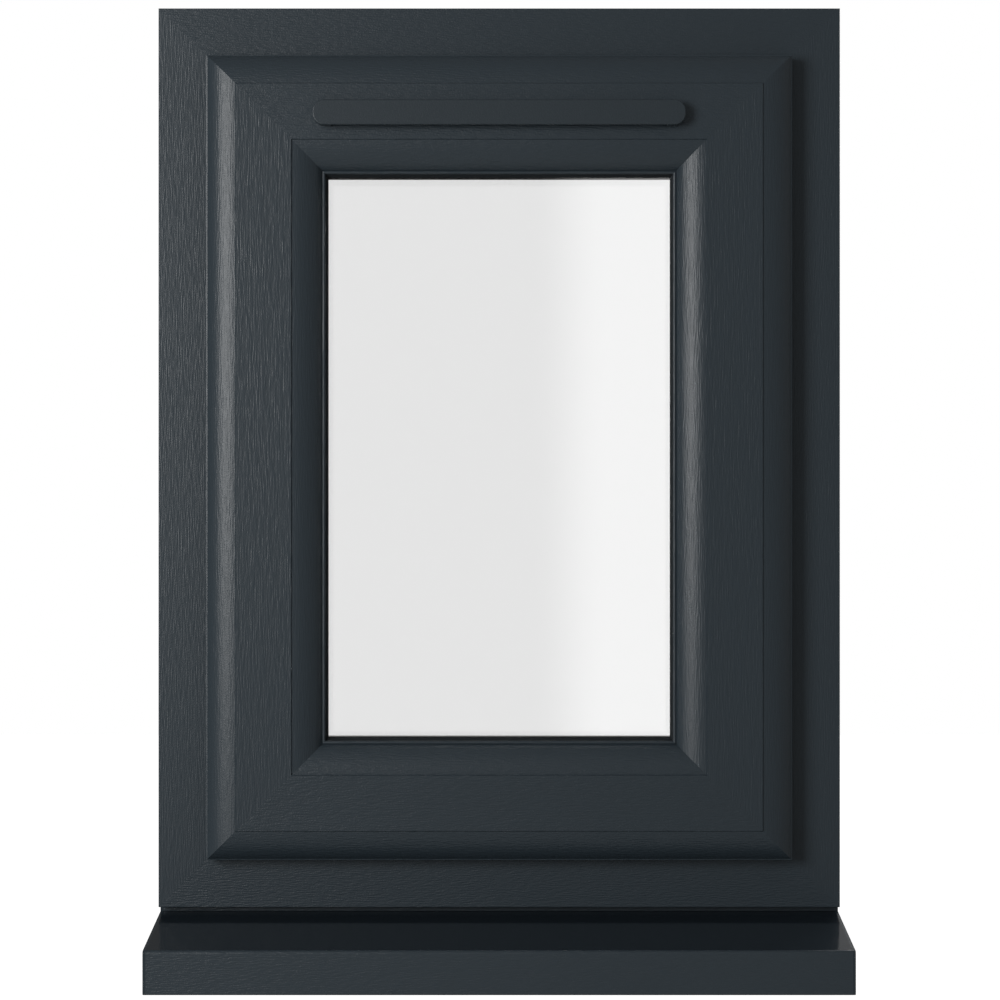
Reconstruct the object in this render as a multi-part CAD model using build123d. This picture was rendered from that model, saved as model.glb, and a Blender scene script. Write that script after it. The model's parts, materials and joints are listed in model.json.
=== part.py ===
from build123d import *
from math import cos, radians, sin
import os

# A top-hung casement window in hollow plastic profile, on a 150 mm sill.
# The outer frame is four mitred bars. The sash overlaps its outside face by a moulded lip,
# holds a sealed double-glazed unit behind beads, and carries a through-the-sash vent.
# X runs along the sill, +Y points into the room and Z is up.
# Y is 0 on the outer frame's outside face, Z is 0 on the sill's flat underside.
# Cross-sections of frame, sash, bead and gasket are drawn with u, the distance in from the
# outer frame's edge, and y, the depth. All sizes are in millimetres.

# Overall sizes
frame_width = 470.0
frame_height = 620.0
frame_depth = 70.0
sash_depth = 70.0
sash_proud = 25.0

# Outer frame bar
frame_face = 43.0
frame_inner_overlap = 10.0
frame_wall = 3.0
frame_web = 2.0
frame_arris = 0.5
frame_web_at = 0.32

# Rebate between frame and sash
hardware_gap = 12.0
weatherseal_gap = 4.0
sash_overlap = 8.5
weatherseal_width = 4.0
weatherseal_inset = 2.0

# Sash bar
sash_body_width = 40.0
sash_wall = 3.0
outer_ovolo = 20.0
inner_ovolo = 19.9
quirk_width = 0.5
quirk_depth = 0.8
land_width = 1.2
land_round = 0.5
lip_bead_width = 1.8
lip_bead_rise = 0.7
lip_thickness = 3.0
flat_width = 37.1

# The mouldings are two tangent arcs each: tilt from the sash face at each end, in degrees,
# and the share of the width that the first arc takes
outer_tilts = (9.0, 23.4, 55.0)
outer_first_share = 0.48
inner_tilts = (0.0, 33.0, 65.0)
inner_first_share = 0.77

# Glazing
pane_thickness = 4.0
pane_cavity = 20.0
glass_edge_gap = 5.0
gasket_thickness = 3.0
gasket_height = 6.0
gasket_proud = 0.3
spacer_height = 10.0
spacer_inset = 1.0
packer_length = 60.0
packer_at = 0.25
bead_nose = 2.6
bead_tilts = (0.0, 62.0)
bead_land = 3.0

# Vent through the top rail
vent_length = 252.0
vent_height = 17.0
vent_corner = 7.0
vent_drop = 1.8
canopy_proud = 9.0
canopy_wall = 2.0
canopy_round = 0.6
canopy_end_block = 12.0
slot_height = 10.0
slot_length = 214.0
closer_proud = 10.0
closer_height = 18.0
flap_thickness = 4.0
flap_height = 10.0
flap_length = 200.0

# Sill
sill_reach = 80.0
sill_height = 30.0
upstand_back = 14.7
upstand_drop = 5.4
sill_fall = 10.1
nose_height = 30.0
nose_thickness = 10.0
nose_round = 3.0
bed_front = 30.0
overhang_lift = 3.0
sill_wall = 2.5
end_cap_thickness = 2.0

# Handle on the bottom rail, inside
handle_base_length = 72.0
handle_base_width = 27.0
handle_base_thick = 11.0
handle_neck_radius = 9.5
handle_neck_length = 7.0
handle_arm_length = 112.0
handle_arm_width = 19.0
handle_arm_tip_width = 14.0
handle_arm_thick = 9.0
handle_edge_round = 2.0
lock_button_radius = 4.5
lock_button_proud = 2.5
lock_button_at = 24.0

# Friction stays and lock bar, in the gap between frame and sash
hardware_centre = 18.0
stay_length = 280.0
stay_track_width = 18.0
stay_bar_width = 14.0
stay_plate = 2.2
stay_end_gap = 14.0
stay_bar_share = 0.62
stay_arm_share = 0.45
rivet_radius = 3.5
lock_bar_length = 240.0
lock_bar_width = 16.0
lock_bar_plate = 2.5
lock_cam_radius = 4.0
lock_cam_at = 85.0
lock_cam_length = 5.0
keep_length = 40.0
keep_plate = 2.5
keep_upstand = 6.0
keep_clearance = 1.0

# Wall fixings through the jambs
fixing_radius = 4.0
fixing_from_corner = 150.0
fixing_depth = 38.0

# Places that follow from the sizes above
half_width = frame_width / 2
frame_bottom = sill_height
frame_top = sill_height + frame_height
sash_face_y = -sash_proud
sash_back_y = sash_depth - sash_proud
sash_edge_u = frame_face - sash_overlap
sash_body_u = frame_face + hardware_gap
frame_inner_face = sash_body_u + frame_inner_overlap
rebate_u = sash_body_u + sash_body_width
flat_start_u = sash_edge_u + land_width + outer_ovolo + quirk_width
flat_end_u = flat_start_u + flat_width
lip_start_u = flat_end_u + quirk_width + inner_ovolo
lip_end_u = lip_start_u + lip_bead_width
sight_u = lip_end_u + gasket_proud
glass_u = rebate_u + glass_edge_gap
glass_unit = 2 * pane_thickness + pane_cavity
mitre_reach = sight_u + 5.0
depth_reach = 2 * (frame_depth + sash_proud)
SIDES = ("left", "right", "bottom", "top")


def save(shape, node):
    """Write one node's solids, which have to be sound, to its own file."""
    solids = shape.solids()
    assert solids and all(s.is_valid for s in solids), node
    export_step(Compound(children=list(solids)) if len(solids) > 1 else solids[0], f"parts/{node}.step")


def fall_of(tilt_start, tilt_end, width):
    """How far an arc falls between two tilts, over a width."""
    radius = width / (sin(radians(tilt_end)) - sin(radians(tilt_start)))
    return radius * (cos(radians(tilt_start)) - cos(radians(tilt_end)))


def moulding_arc(start, way, tilt_start, tilt_end, width):
    """An arc that leaves start at one tilt to the sash face and ends at another.

    way is 1 where u grows along it and -1 where u shrinks.
    """
    radius = width / (sin(radians(tilt_end)) - sin(radians(tilt_start)))

    def point_at(tilt):
        across = radius * (sin(radians(tilt)) - sin(radians(tilt_start)))
        fall = radius * (cos(radians(tilt_start)) - cos(radians(tilt)))
        return (start[0] + way * across, start[1] + fall)

    middle = point_at((tilt_start + tilt_end) / 2)
    return ThreePointArc(start, middle, point_at(tilt_end))


def moulding(start, way, tilts, first_share, width):
    """Two tangent arcs of one ovolo moulding, from the sash face downwards."""
    first = moulding_arc(start, way, tilts[0], tilts[1], width * first_share)
    second = moulding_arc(tuple(first @ 1)[:2], way, tilts[1], tilts[2], width * (1 - first_share))
    return [first, second]


def moulding_fall(tilts, first_share, width):
    first = fall_of(tilts[0], tilts[1], width * first_share)
    return first + fall_of(tilts[1], tilts[2], width * (1 - first_share))


# Depths that follow from the mouldings' falls
outer_foot_y = sash_face_y + quirk_depth + moulding_fall(outer_tilts, outer_first_share, outer_ovolo)
inner_foot_y = sash_face_y + quirk_depth + moulding_fall(inner_tilts, inner_first_share, inner_ovolo)
lip_back_y = inner_foot_y + lip_thickness
glass_front_y = lip_back_y + gasket_thickness
glass_back_y = glass_front_y + glass_unit
bead_front_y = glass_back_y + gasket_thickness
frame_leg_y = sash_back_y + weatherseal_gap


def side_plane(side):
    """Local frame of one side: x is u, y is the depth, z runs along the bar. Also its length."""
    if side == "left":
        return Plane((-half_width, 0, frame_bottom), x_dir=(1, 0, 0), z_dir=(0, 0, 1)), frame_height
    if side == "right":
        return Plane((half_width, 0, frame_top), x_dir=(-1, 0, 0), z_dir=(0, 0, -1)), frame_height
    if side == "bottom":
        return Plane((half_width, 0, frame_bottom), x_dir=(0, 0, 1), z_dir=(-1, 0, 0)), frame_width
    return Plane((-half_width, 0, frame_top), x_dir=(0, 0, -1), z_dir=(1, 0, 0)), frame_width


def mitre_wedge(side):
    """The block of space between a side's two mitre cuts."""
    plane, length = side_plane(side)
    corners = [(0, 0), (mitre_reach, mitre_reach), (mitre_reach, length - mitre_reach), (0, length)]
    points = [plane.from_local_coords((u, -depth_reach, along)) for u, along in corners]
    return extrude(make_face(Polyline(*points, close=True)), amount=2 * depth_reach, dir=(0, 1, 0))


def bar(section, side):
    """One mitred bar of a cross-section drawn in u and y."""
    plane, length = side_plane(side)
    return extrude(plane * section, amount=length, dir=plane.z_dir) & mitre_wedge(side)


def ring(section):
    """All four mitred bars of a cross-section, joined at the corners."""
    whole = bar(section, SIDES[0])
    for side in SIDES[1:]:
        whole += bar(section, side)
    return whole


def rectangle(u_low, u_high, y_low, y_high):
    """A rectangle in u and y, by its limits."""
    centre = Pos((u_low + u_high) / 2, (y_low + y_high) / 2)
    return centre * Rectangle(u_high - u_low, y_high - y_low)


def rounded_bar(length, height, corner, thickness, centre_x, centre_z, y_low):
    """An upright plate with rounded corners, from y_low into the room."""
    face = Plane((centre_x, y_low, centre_z), x_dir=(1, 0, 0), z_dir=(0, -1, 0))
    return extrude(face * RectangleRounded(length, height, corner), amount=thickness, dir=(0, 1, 0))


def block(x_low, x_high, y_low, y_high, z_low, z_high):
    size = (x_high - x_low, y_high - y_low, z_high - z_low)
    centre = ((x_high + x_low) / 2, (y_high + y_low) / 2, (z_high + z_low) / 2)
    return Pos(*centre) * Box(*size)


def frame_section():
    """L-shaped hollow bar: a deep outer box and a leg on the room side."""
    corners = [(0, 0), (frame_face, 0), (frame_face, frame_leg_y), (frame_inner_face, frame_leg_y)]
    corners += [(frame_inner_face, frame_depth), (0, frame_depth)]
    outline = make_face(Polyline(*corners, close=True))
    outer_arrises = outline.vertices().filter_by(lambda v: v.X < frame_arris)
    outline = fillet(outer_arrises, frame_arris)
    web_y = frame_depth * frame_web_at
    box_high = frame_face - frame_wall
    outline -= rectangle(frame_wall, box_high, frame_wall, web_y)
    outline -= rectangle(frame_wall, box_high, web_y + frame_web, frame_depth - frame_wall)
    leg_front, leg_back = frame_leg_y + frame_wall, frame_depth - frame_wall
    outline -= rectangle(frame_face, frame_inner_face - frame_wall, leg_front, leg_back)
    return outline


def make_frame():
    section = frame_section()
    names = {"left": "frame_left_jamb", "right": "frame_right_jamb"}
    names |= {"bottom": "frame_bottom_rail", "top": "frame_head"}
    for side in SIDES:
        piece = bar(section, side)
        if side in ("left", "right"):
            piece -= fixing_holes(side)
        save(piece, names[side])


def fixing_holes(side):
    """Two holes for the wall fixings, straight through a jamb."""
    way = 1 if side == "left" else -1
    start = Plane((-way * (half_width + 1), 0, 0), x_dir=(0, 1, 0), z_dir=(way, 0, 0))
    holes = None
    for height in (frame_bottom + fixing_from_corner, frame_top - fixing_from_corner):
        at = start.to_local_coords(Vector(0, fixing_depth, height))
        drill = extrude(start * (Pos(at.X, at.Y) * Circle(fixing_radius)), amount=frame_face + 2)
        holes = drill if holes is None else holes + drill
    return holes


def sash_section():
    """Z-shaped hollow bar: overlap lip outside, body, and glazing leg with its own lip."""
    ovolo_top_y = sash_face_y + quirk_depth
    outer = moulding((flat_start_u - quirk_width, ovolo_top_y), -1, outer_tilts, outer_first_share, outer_ovolo)
    inner = moulding((flat_end_u + quirk_width, ovolo_top_y), 1, inner_tilts, inner_first_share, inner_ovolo)
    outer_foot = tuple(outer[1] @ 1)[:2]
    inner_foot = tuple(inner[1] @ 1)[:2]
    land_end = (sash_edge_u + land_round, outer_foot[1])
    side_top = (sash_edge_u, outer_foot[1] + land_round)
    lip_crest = (inner_foot[0] + lip_bead_width / 2, inner_foot[1] - lip_bead_rise)
    lip_end = (lip_end_u, inner_foot[1])
    face = Polyline(
        (flat_start_u - quirk_width, ovolo_top_y),
        (flat_start_u, sash_face_y),
        (flat_end_u, sash_face_y),
        (flat_end_u + quirk_width, ovolo_top_y),
    )
    back = Polyline(
        lip_end,
        (lip_end_u, lip_back_y),
        (rebate_u, lip_back_y),
        (rebate_u, sash_back_y),
        (sash_body_u, sash_back_y),
        (sash_body_u, -weatherseal_gap),
        (sash_edge_u, -weatherseal_gap),
        side_top,
    )
    land = Line(outer_foot, land_end)
    arris = RadiusArc(land_end, side_top, land_round)
    if arris.center().X > sash_edge_u + land_round * 0.5:
        arris = RadiusArc(land_end, side_top, -land_round)
    lip_bead = ThreePointArc(inner_foot, lip_crest, lip_end)
    edges = [*outer, *face.edges(), *inner, lip_bead, *back.edges(), arris, land]
    outline = make_face(edges)
    chamber_low, chamber_high = sash_body_u + sash_wall, rebate_u - sash_wall
    outline -= rectangle(chamber_low, chamber_high, 0, sash_back_y - sash_wall)
    outline -= rectangle(chamber_low, chamber_high, sash_face_y + sash_wall, -sash_wall)
    lip_chamber_front = outer_foot_y + sash_wall * 0.5
    outline -= rectangle(sash_edge_u + 2 * sash_wall, sash_body_u, lip_chamber_front, -weatherseal_gap - sash_wall)
    return outline


def vent_centre_z():
    """Height of the vent: the middle of the top rail's flat, less the drop."""
    return frame_top - (flat_start_u + flat_end_u) / 2 - vent_drop


def vent_slot():
    """The slot that the vent's air passes through, right through the top rail."""
    centre_z = vent_centre_z()
    low, high = centre_z - slot_height / 2, centre_z + slot_height / 2
    return block(-slot_length / 2, slot_length / 2, sash_face_y - 1, sash_back_y + 1, low, high)


def make_sash():
    section = sash_section()
    names = {"left": "sash_left_stile", "right": "sash_right_stile"}
    names |= {"bottom": "sash_bottom_rail", "top": "sash_top_rail"}
    for side in SIDES:
        piece = bar(section, side)
        if side == "top":
            piece -= vent_slot()
        save(piece, names[side])


def bead_section():
    """A glazing bead: thin at the glass, moulded up to the sash's inside face."""
    width = sight_u - gasket_proud - rebate_u - bead_land
    nose = (rebate_u + bead_land + width, bead_front_y + bead_nose)
    rise = sash_back_y - nose[1]
    foot = (rebate_u + bead_land, sash_back_y)
    middle = (foot[0] + width * 0.62, sash_back_y - rise * 0.22)
    shape = [
        Line((rebate_u, bead_front_y), (nose[0], bead_front_y)),
        Line((nose[0], bead_front_y), nose),
        ThreePointArc(nose, middle, foot),
        Line(foot, (rebate_u, sash_back_y)),
        Line((rebate_u, sash_back_y), (rebate_u, bead_front_y)),
    ]
    return make_face(shape)


def make_beads():
    for side in SIDES:
        save(bar(bead_section(), side), f"glazing_bead_{side}")


def pane(y_low):
    low, high = frame_bottom + glass_u, frame_top - glass_u
    return block(glass_u - half_width, half_width - glass_u, y_low, y_low + pane_thickness, low, high)


def make_glass():
    save(pane(glass_front_y), "glass_outer_pane")
    save(pane(glass_back_y - pane_thickness), "glass_inner_pane")
    spacer_u = glass_u + spacer_inset
    cavity_front = glass_front_y + pane_thickness
    spacer = rectangle(spacer_u, spacer_u + spacer_height, cavity_front, cavity_front + pane_cavity)
    save(ring(spacer), "glass_spacer_bar")


def gasket_section(y_low):
    """A wedge gasket with a rounded edge that shows beside the glass."""
    strip = rectangle(sight_u - gasket_height, sight_u, y_low, y_low + gasket_thickness)
    shown = strip.vertices().filter_by(lambda v: v.X > sight_u - 0.1)
    return fillet(shown, gasket_thickness * 0.3)


def make_glazing_gaskets():
    save(ring(gasket_section(lip_back_y)), "outer_glazing_gasket")
    save(ring(gasket_section(glass_back_y)), "inner_glazing_gasket")


def make_packers():
    """Two flat packers that the glass stands on, in the bottom rail's rebate."""
    top = frame_bottom + glass_u
    floor = frame_bottom + rebate_u
    pane_width = frame_width - 2 * glass_u
    packers = []
    for way in (-1, 1):
        centre = way * (pane_width / 2 - pane_width * packer_at)
        low, high = centre - packer_length / 2, centre + packer_length / 2
        packers.append(block(low, high, glass_front_y, glass_back_y, floor, top))
    save(Compound(children=packers), "glazing_packers")


def make_weatherseals():
    """Compressed seals: one on the sash's overlap, one on the frame's inner leg."""
    sash_seal_u = sash_edge_u + weatherseal_inset
    on_sash = rectangle(sash_seal_u, sash_seal_u + weatherseal_width, -weatherseal_gap, 0)
    save(ring(on_sash), "sash_weatherseal")
    frame_seal_u = frame_inner_face - weatherseal_inset - weatherseal_width
    on_frame = rectangle(frame_seal_u, frame_seal_u + weatherseal_width, sash_back_y, frame_leg_y)
    save(ring(on_frame), "frame_weatherseal")


def make_vent():
    """Canopy outside, and a body with its closing flap inside."""
    centre_z = vent_centre_z()
    front = sash_face_y - canopy_proud
    canopy = rounded_bar(vent_length, vent_height, vent_corner, canopy_proud, 0, centre_z, front)
    front_edges = canopy.edges().filter_by(lambda e: abs(e.center().Y - front) < 0.01)
    canopy = fillet(front_edges, canopy_round)
    hollow_x = vent_length / 2 - canopy_end_block
    inside_low = centre_z - vent_height / 2 - 1
    inside_high = centre_z + vent_height / 2 - canopy_wall
    canopy -= block(-hollow_x, hollow_x, front + canopy_wall, sash_face_y + 1, inside_low, inside_high)
    save(canopy, "vent_canopy")

    body = rounded_bar(vent_length, closer_height, vent_corner, closer_proud, 0, centre_z, sash_back_y)
    back_edges = body.edges().filter_by(lambda e: abs(e.center().Y - sash_back_y - closer_proud) < 0.01)
    body = fillet(back_edges, canopy_round)
    back = sash_back_y + closer_proud
    throat_low, throat_high = centre_z - flap_height / 2, centre_z + flap_height / 2
    throat = block(-flap_length / 2, flap_length / 2, sash_back_y - 1, back + 1, throat_low, throat_high)
    save(body - throat, "vent_inner_body")
    flap_y = back - flap_thickness / 2
    flap = block(-flap_length / 2, flap_length / 2, flap_y - flap_thickness, flap_y, throat_low, throat_high)
    save(flap, "vent_inner_flap")


def sill_outline():
    """The sill's outside shape, drawn in y and z."""
    slope_top = sill_height - upstand_drop
    nose_top = slope_top - sill_fall
    nose_low = nose_top - nose_height
    nose_back = -sill_reach + nose_thickness
    corners = [
        (frame_depth, 0),
        (frame_depth, sill_height),
        (upstand_back, sill_height),
        (upstand_back, slope_top),
        (-sill_reach, nose_top),
        (-sill_reach, nose_low),
        (nose_back, nose_low),
        (nose_back, overhang_lift),
        (-bed_front, overhang_lift),
        (-bed_front, 0),
    ]
    outline = make_face(Polyline(*corners, close=True))
    nose_corner = outline.vertices().filter_by(lambda v: v.X < -sill_reach + 0.1 and v.Y > 0)
    outline = fillet(nose_corner, nose_round)
    drip_corners = outline.vertices().filter_by(lambda v: v.Y < nose_low + 0.1)
    return fillet(drip_corners, sill_wall * 0.4)


def slope_height(y):
    """Height of the sill's sloping top at a depth."""
    share = (upstand_back - y) / (upstand_back + sill_reach)
    return sill_height - upstand_drop - sill_fall * share


def sill_chambers():
    """Hollows of the sill's profile: two under the frame, one under the slope, one in the nose."""
    middle = (upstand_back + frame_depth) / 2
    rear_low, rear_high = sill_wall, sill_height - sill_wall
    rear = rectangle(middle + sill_wall / 2, frame_depth - sill_wall, rear_low, rear_high)
    mid = rectangle(upstand_back + sill_wall, middle - sill_wall / 2, rear_low, rear_high)
    front_back, front_nose = upstand_back, -sill_reach + nose_thickness
    floor = overhang_lift + sill_wall
    slope = [
        (front_back, floor),
        (front_back, slope_height(front_back) - sill_wall),
        (front_nose, slope_height(front_nose) - sill_wall),
        (front_nose, floor),
    ]
    nose_low = sill_height - upstand_drop - sill_fall - nose_height + sill_wall
    nose = rectangle(-sill_reach + sill_wall, front_nose - sill_wall, nose_low, overhang_lift + sill_wall)
    return rear + mid + make_face(Polyline(*slope, close=True)) + nose


def make_sill():
    """The hollow sill with a flush cap on each end."""
    length = frame_width - 2 * end_cap_thickness
    outline = sill_outline()
    hollow = outline - sill_chambers()
    start = Plane((-length / 2, 0, 0), x_dir=(0, 1, 0), z_dir=(1, 0, 0))
    save(extrude(start * hollow, amount=length), "window_sill")
    left = Plane((-half_width, 0, 0), x_dir=(0, 1, 0), z_dir=(1, 0, 0))
    save(extrude(left * outline, amount=end_cap_thickness), "sill_end_cap_left")
    right = Plane((half_width - end_cap_thickness, 0, 0), x_dir=(0, 1, 0), z_dir=(1, 0, 0))
    save(extrude(right * outline, amount=end_cap_thickness), "sill_end_cap_right")


def make_handle():
    """Espagnolette handle in its locked place, lying along the bottom rail."""
    centre_z = frame_bottom + (frame_inner_face + rebate_u) / 2
    base_end = handle_base_width / 2 - 0.01
    base = rounded_bar(handle_base_length, handle_base_width, base_end, handle_base_thick, 0, centre_z, sash_back_y)
    base_back = sash_back_y + handle_base_thick
    base_edges = base.edges().filter_by(lambda e: abs(e.center().Y - base_back) < 0.01)
    save(fillet(base_edges, handle_edge_round), "handle_base")

    neck_face = Plane((0, base_back, centre_z), x_dir=(1, 0, 0), z_dir=(0, 1, 0))
    neck = extrude(neck_face * Circle(handle_neck_radius), amount=handle_neck_length)
    arm_y = base_back + handle_neck_length
    arm_face = Plane((0, arm_y, centre_z), x_dir=(1, 0, 0), z_dir=(0, 1, 0))
    root, tip = handle_arm_width / 2, handle_arm_tip_width / 2
    web = [(0, root), (handle_arm_length, tip), (handle_arm_length, -tip), (0, -root)]
    arm_shape = make_face(Polyline(*web, close=True)) + Circle(root)
    arm_shape += Pos(handle_arm_length, 0) * Circle(tip)
    arm = extrude(arm_face * arm_shape, amount=handle_arm_thick)
    arm_back = arm_y + handle_arm_thick
    arm_edges = arm.edges().filter_by(lambda e: abs(e.center().Y - arm_back) < 0.01)
    arm = fillet(arm_edges, handle_edge_round)
    save(neck + arm, "handle_lever")

    button_face = Plane((-lock_button_at, base_back, centre_z), x_dir=(1, 0, 0), z_dir=(0, 1, 0))
    button = extrude(button_face * Circle(lock_button_radius), amount=lock_button_proud)
    save(button, "handle_lock_button")


def stay(way):
    """A closed friction stay: track on the jamb, arms, and the bar screwed to the sash."""
    floor_x = half_width - frame_face
    sash_x = half_width - sash_body_u
    top = frame_top - frame_face - stay_end_gap

    def plate(x_out, thickness, width, length, z_high):
        y_low, y_high = hardware_centre - width / 2, hardware_centre + width / 2
        low_x, high_x = sorted((way * x_out, way * (x_out - thickness)))
        return block(low_x, high_x, y_low, y_high, z_high - length, z_high)

    track = plate(floor_x, stay_plate, stay_track_width, stay_length, top)
    bar_length = stay_length * stay_bar_share
    sash_bar = plate(sash_x + stay_plate, stay_plate, stay_bar_width, bar_length, top)
    room = floor_x - sash_x - 2 * stay_plate
    arm_length = stay_length * stay_arm_share
    arm = plate(floor_x - stay_plate - room / 3, room / 3, stay_bar_width, arm_length, top - stay_bar_width)
    whole = track + sash_bar + arm
    for z in (top - 1.6 * stay_bar_width, top - stay_bar_width - arm_length + stay_bar_width * 0.6):
        pin_plane = Plane((way * sash_x, hardware_centre, z), x_dir=(0, 1, 0), z_dir=(way, 0, 0))
        whole += extrude(pin_plane * Circle(rivet_radius), amount=floor_x - sash_x)
    return whole


def make_hardware():
    save(stay(-1), "friction_stay_left")
    save(stay(1), "friction_stay_right")
    groove_z = frame_bottom + sash_body_u
    floor_z = frame_bottom + frame_face
    y_low, y_high = hardware_centre - lock_bar_width / 2, hardware_centre + lock_bar_width / 2
    half = lock_bar_length / 2
    lock = block(-half, half, y_low, y_high, groove_z - lock_bar_plate, groove_z)
    keeps = []
    for way in (-1, 1):
        cam_low = groove_z - lock_bar_plate - lock_cam_length
        cam_plane = Plane((way * lock_cam_at, hardware_centre, cam_low), x_dir=(1, 0, 0), z_dir=(0, 0, 1))
        lock += extrude(cam_plane * Circle(lock_cam_radius), amount=lock_cam_length)
        x_low, x_high = way * lock_cam_at - keep_length / 2, way * lock_cam_at + keep_length / 2
        foot = block(x_low, x_high, y_low, y_high, floor_z, floor_z + keep_plate)
        hook_y = hardware_centre - lock_cam_radius - keep_clearance
        hook = block(x_low, x_high, hook_y - keep_plate, hook_y, floor_z, floor_z + keep_upstand)
        keeps.append(foot + hook)
    save(lock, "lock_bar")
    save(Compound(children=[k.solid() for k in keeps]), "lock_keeps")


os.makedirs("parts", exist_ok=True)
make_frame()
make_sash()
make_beads()
make_glass()
make_glazing_gaskets()
make_packers()
make_weatherseals()
make_vent()
make_sill()
make_handle()
make_hardware()
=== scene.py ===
"""Looks of a small top-hung window: foiled plastic bars, glass unit, vent, sill and handle."""

import json
import math

import bmesh
import bpy
from bpy.props import FloatProperty, PointerProperty, StringProperty
from mathutils import Matrix, Vector


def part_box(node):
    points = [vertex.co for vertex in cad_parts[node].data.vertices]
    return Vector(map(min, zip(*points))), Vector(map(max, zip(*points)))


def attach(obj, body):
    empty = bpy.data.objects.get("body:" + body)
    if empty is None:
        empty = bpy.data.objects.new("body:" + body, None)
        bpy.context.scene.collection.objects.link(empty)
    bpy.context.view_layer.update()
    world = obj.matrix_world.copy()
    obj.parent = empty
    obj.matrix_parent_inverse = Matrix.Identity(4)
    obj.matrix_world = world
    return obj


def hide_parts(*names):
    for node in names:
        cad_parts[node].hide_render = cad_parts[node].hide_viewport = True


bl_info = {
    "name": "Top-hung window",
    "version": (1, 0, 0),
    "blender": (4, 5, 0),
    "location": "3D View > Sidebar > Window",
    "description": "Builds the visible pieces of a top-hung window around its packed frame",
    "category": "Add Mesh",
}

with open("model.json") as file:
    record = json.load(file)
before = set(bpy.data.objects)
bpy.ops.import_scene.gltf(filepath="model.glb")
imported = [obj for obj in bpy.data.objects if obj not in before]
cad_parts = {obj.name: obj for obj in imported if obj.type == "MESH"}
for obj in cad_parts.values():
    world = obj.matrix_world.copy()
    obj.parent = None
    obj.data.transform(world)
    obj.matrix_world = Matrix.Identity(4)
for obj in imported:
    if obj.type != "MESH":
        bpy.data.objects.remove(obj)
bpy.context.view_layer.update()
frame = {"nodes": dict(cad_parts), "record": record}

MM = 0.001
BODY = "root"
SIDES = ("left", "right", "bottom", "top")
BAR_NAMES = {
    "frame": {"left": "frame_left_jamb", "right": "frame_right_jamb",
              "bottom": "frame_bottom_rail", "top": "frame_head"},
    "sash": {"left": "sash_left_stile", "right": "sash_right_stile",
             "bottom": "sash_bottom_rail", "top": "sash_top_rail"},
    "bead": {side: f"glazing_bead_{side}" for side in SIDES},
}


def span(node, axis):
    """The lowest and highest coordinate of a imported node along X, Y or Z."""
    low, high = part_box(node)
    index = "XYZ".index(axis)
    return low[index], high[index]


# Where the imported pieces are
FRAME_LEFT, FRAME_RIGHT = span("frame_head", "X")
FRAME_LOW, FRAME_HIGH = span("frame_left_jamb", "Z")
FRAME_BACK = span("frame_head", "Y")[1]
FRAME_FACE_EDGE = span("frame_left_jamb", "X")[1] - FRAME_LEFT
SASH_FACE, SASH_BACK = span("sash_left_stile", "Y")
SASH_EDGE = span("sash_left_stile", "X")[0] - FRAME_LEFT
GASKET_LOW = span("outer_glazing_gasket", "X")[0] - FRAME_LEFT
GASKET_COVER = 6.0 * MM
SIGHT_EDGE = GASKET_LOW + GASKET_COVER
LIP_BACK = span("outer_glazing_gasket", "Y")[0]
GLASS_FRONT = span("glass_outer_pane", "Y")
GLASS_REAR = span("glass_inner_pane", "Y")
GLASS_EDGE = span("glass_outer_pane", "X")[0] - FRAME_LEFT
REBATE = span("glazing_bead_left", "X")[0] - FRAME_LEFT
BEAD_FRONT = span("glazing_bead_left", "Y")[0]
SPACER_COVER = 11.0 * MM
SPACER_SIGHT = GLASS_EDGE + SPACER_COVER

# How finely curves are cut, in flat steps to an arc
CORNER_STEPS = 5
EDGE_STEPS = 6
OVOLO_STEPS = 12
BEAD_STEPS = 16
LIP_STEPS = 10
LAND_STEPS = 6
SEAL_STEPS = 7
SILL_STEPS = 8
PLATE_STEPS = 10
ARM_STEPS = 8
ARM_END_STEPS = 16
DRILL_STEPS = 40


def length(name, description, default):
    return FloatProperty(name=name, description=description, default=default,
                         unit="LENGTH", precision=5)


def tilt(name, description, degrees):
    return FloatProperty(name=name, description=description, default=math.radians(degrees),
                         unit="ROTATION")


def amount(name, description, default):
    return FloatProperty(name=name, description=description, default=default)


def colour(name, description, default):
    return StringProperty(name=name, description=description + ", as an sRGB hex value",
                          default=default)


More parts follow.
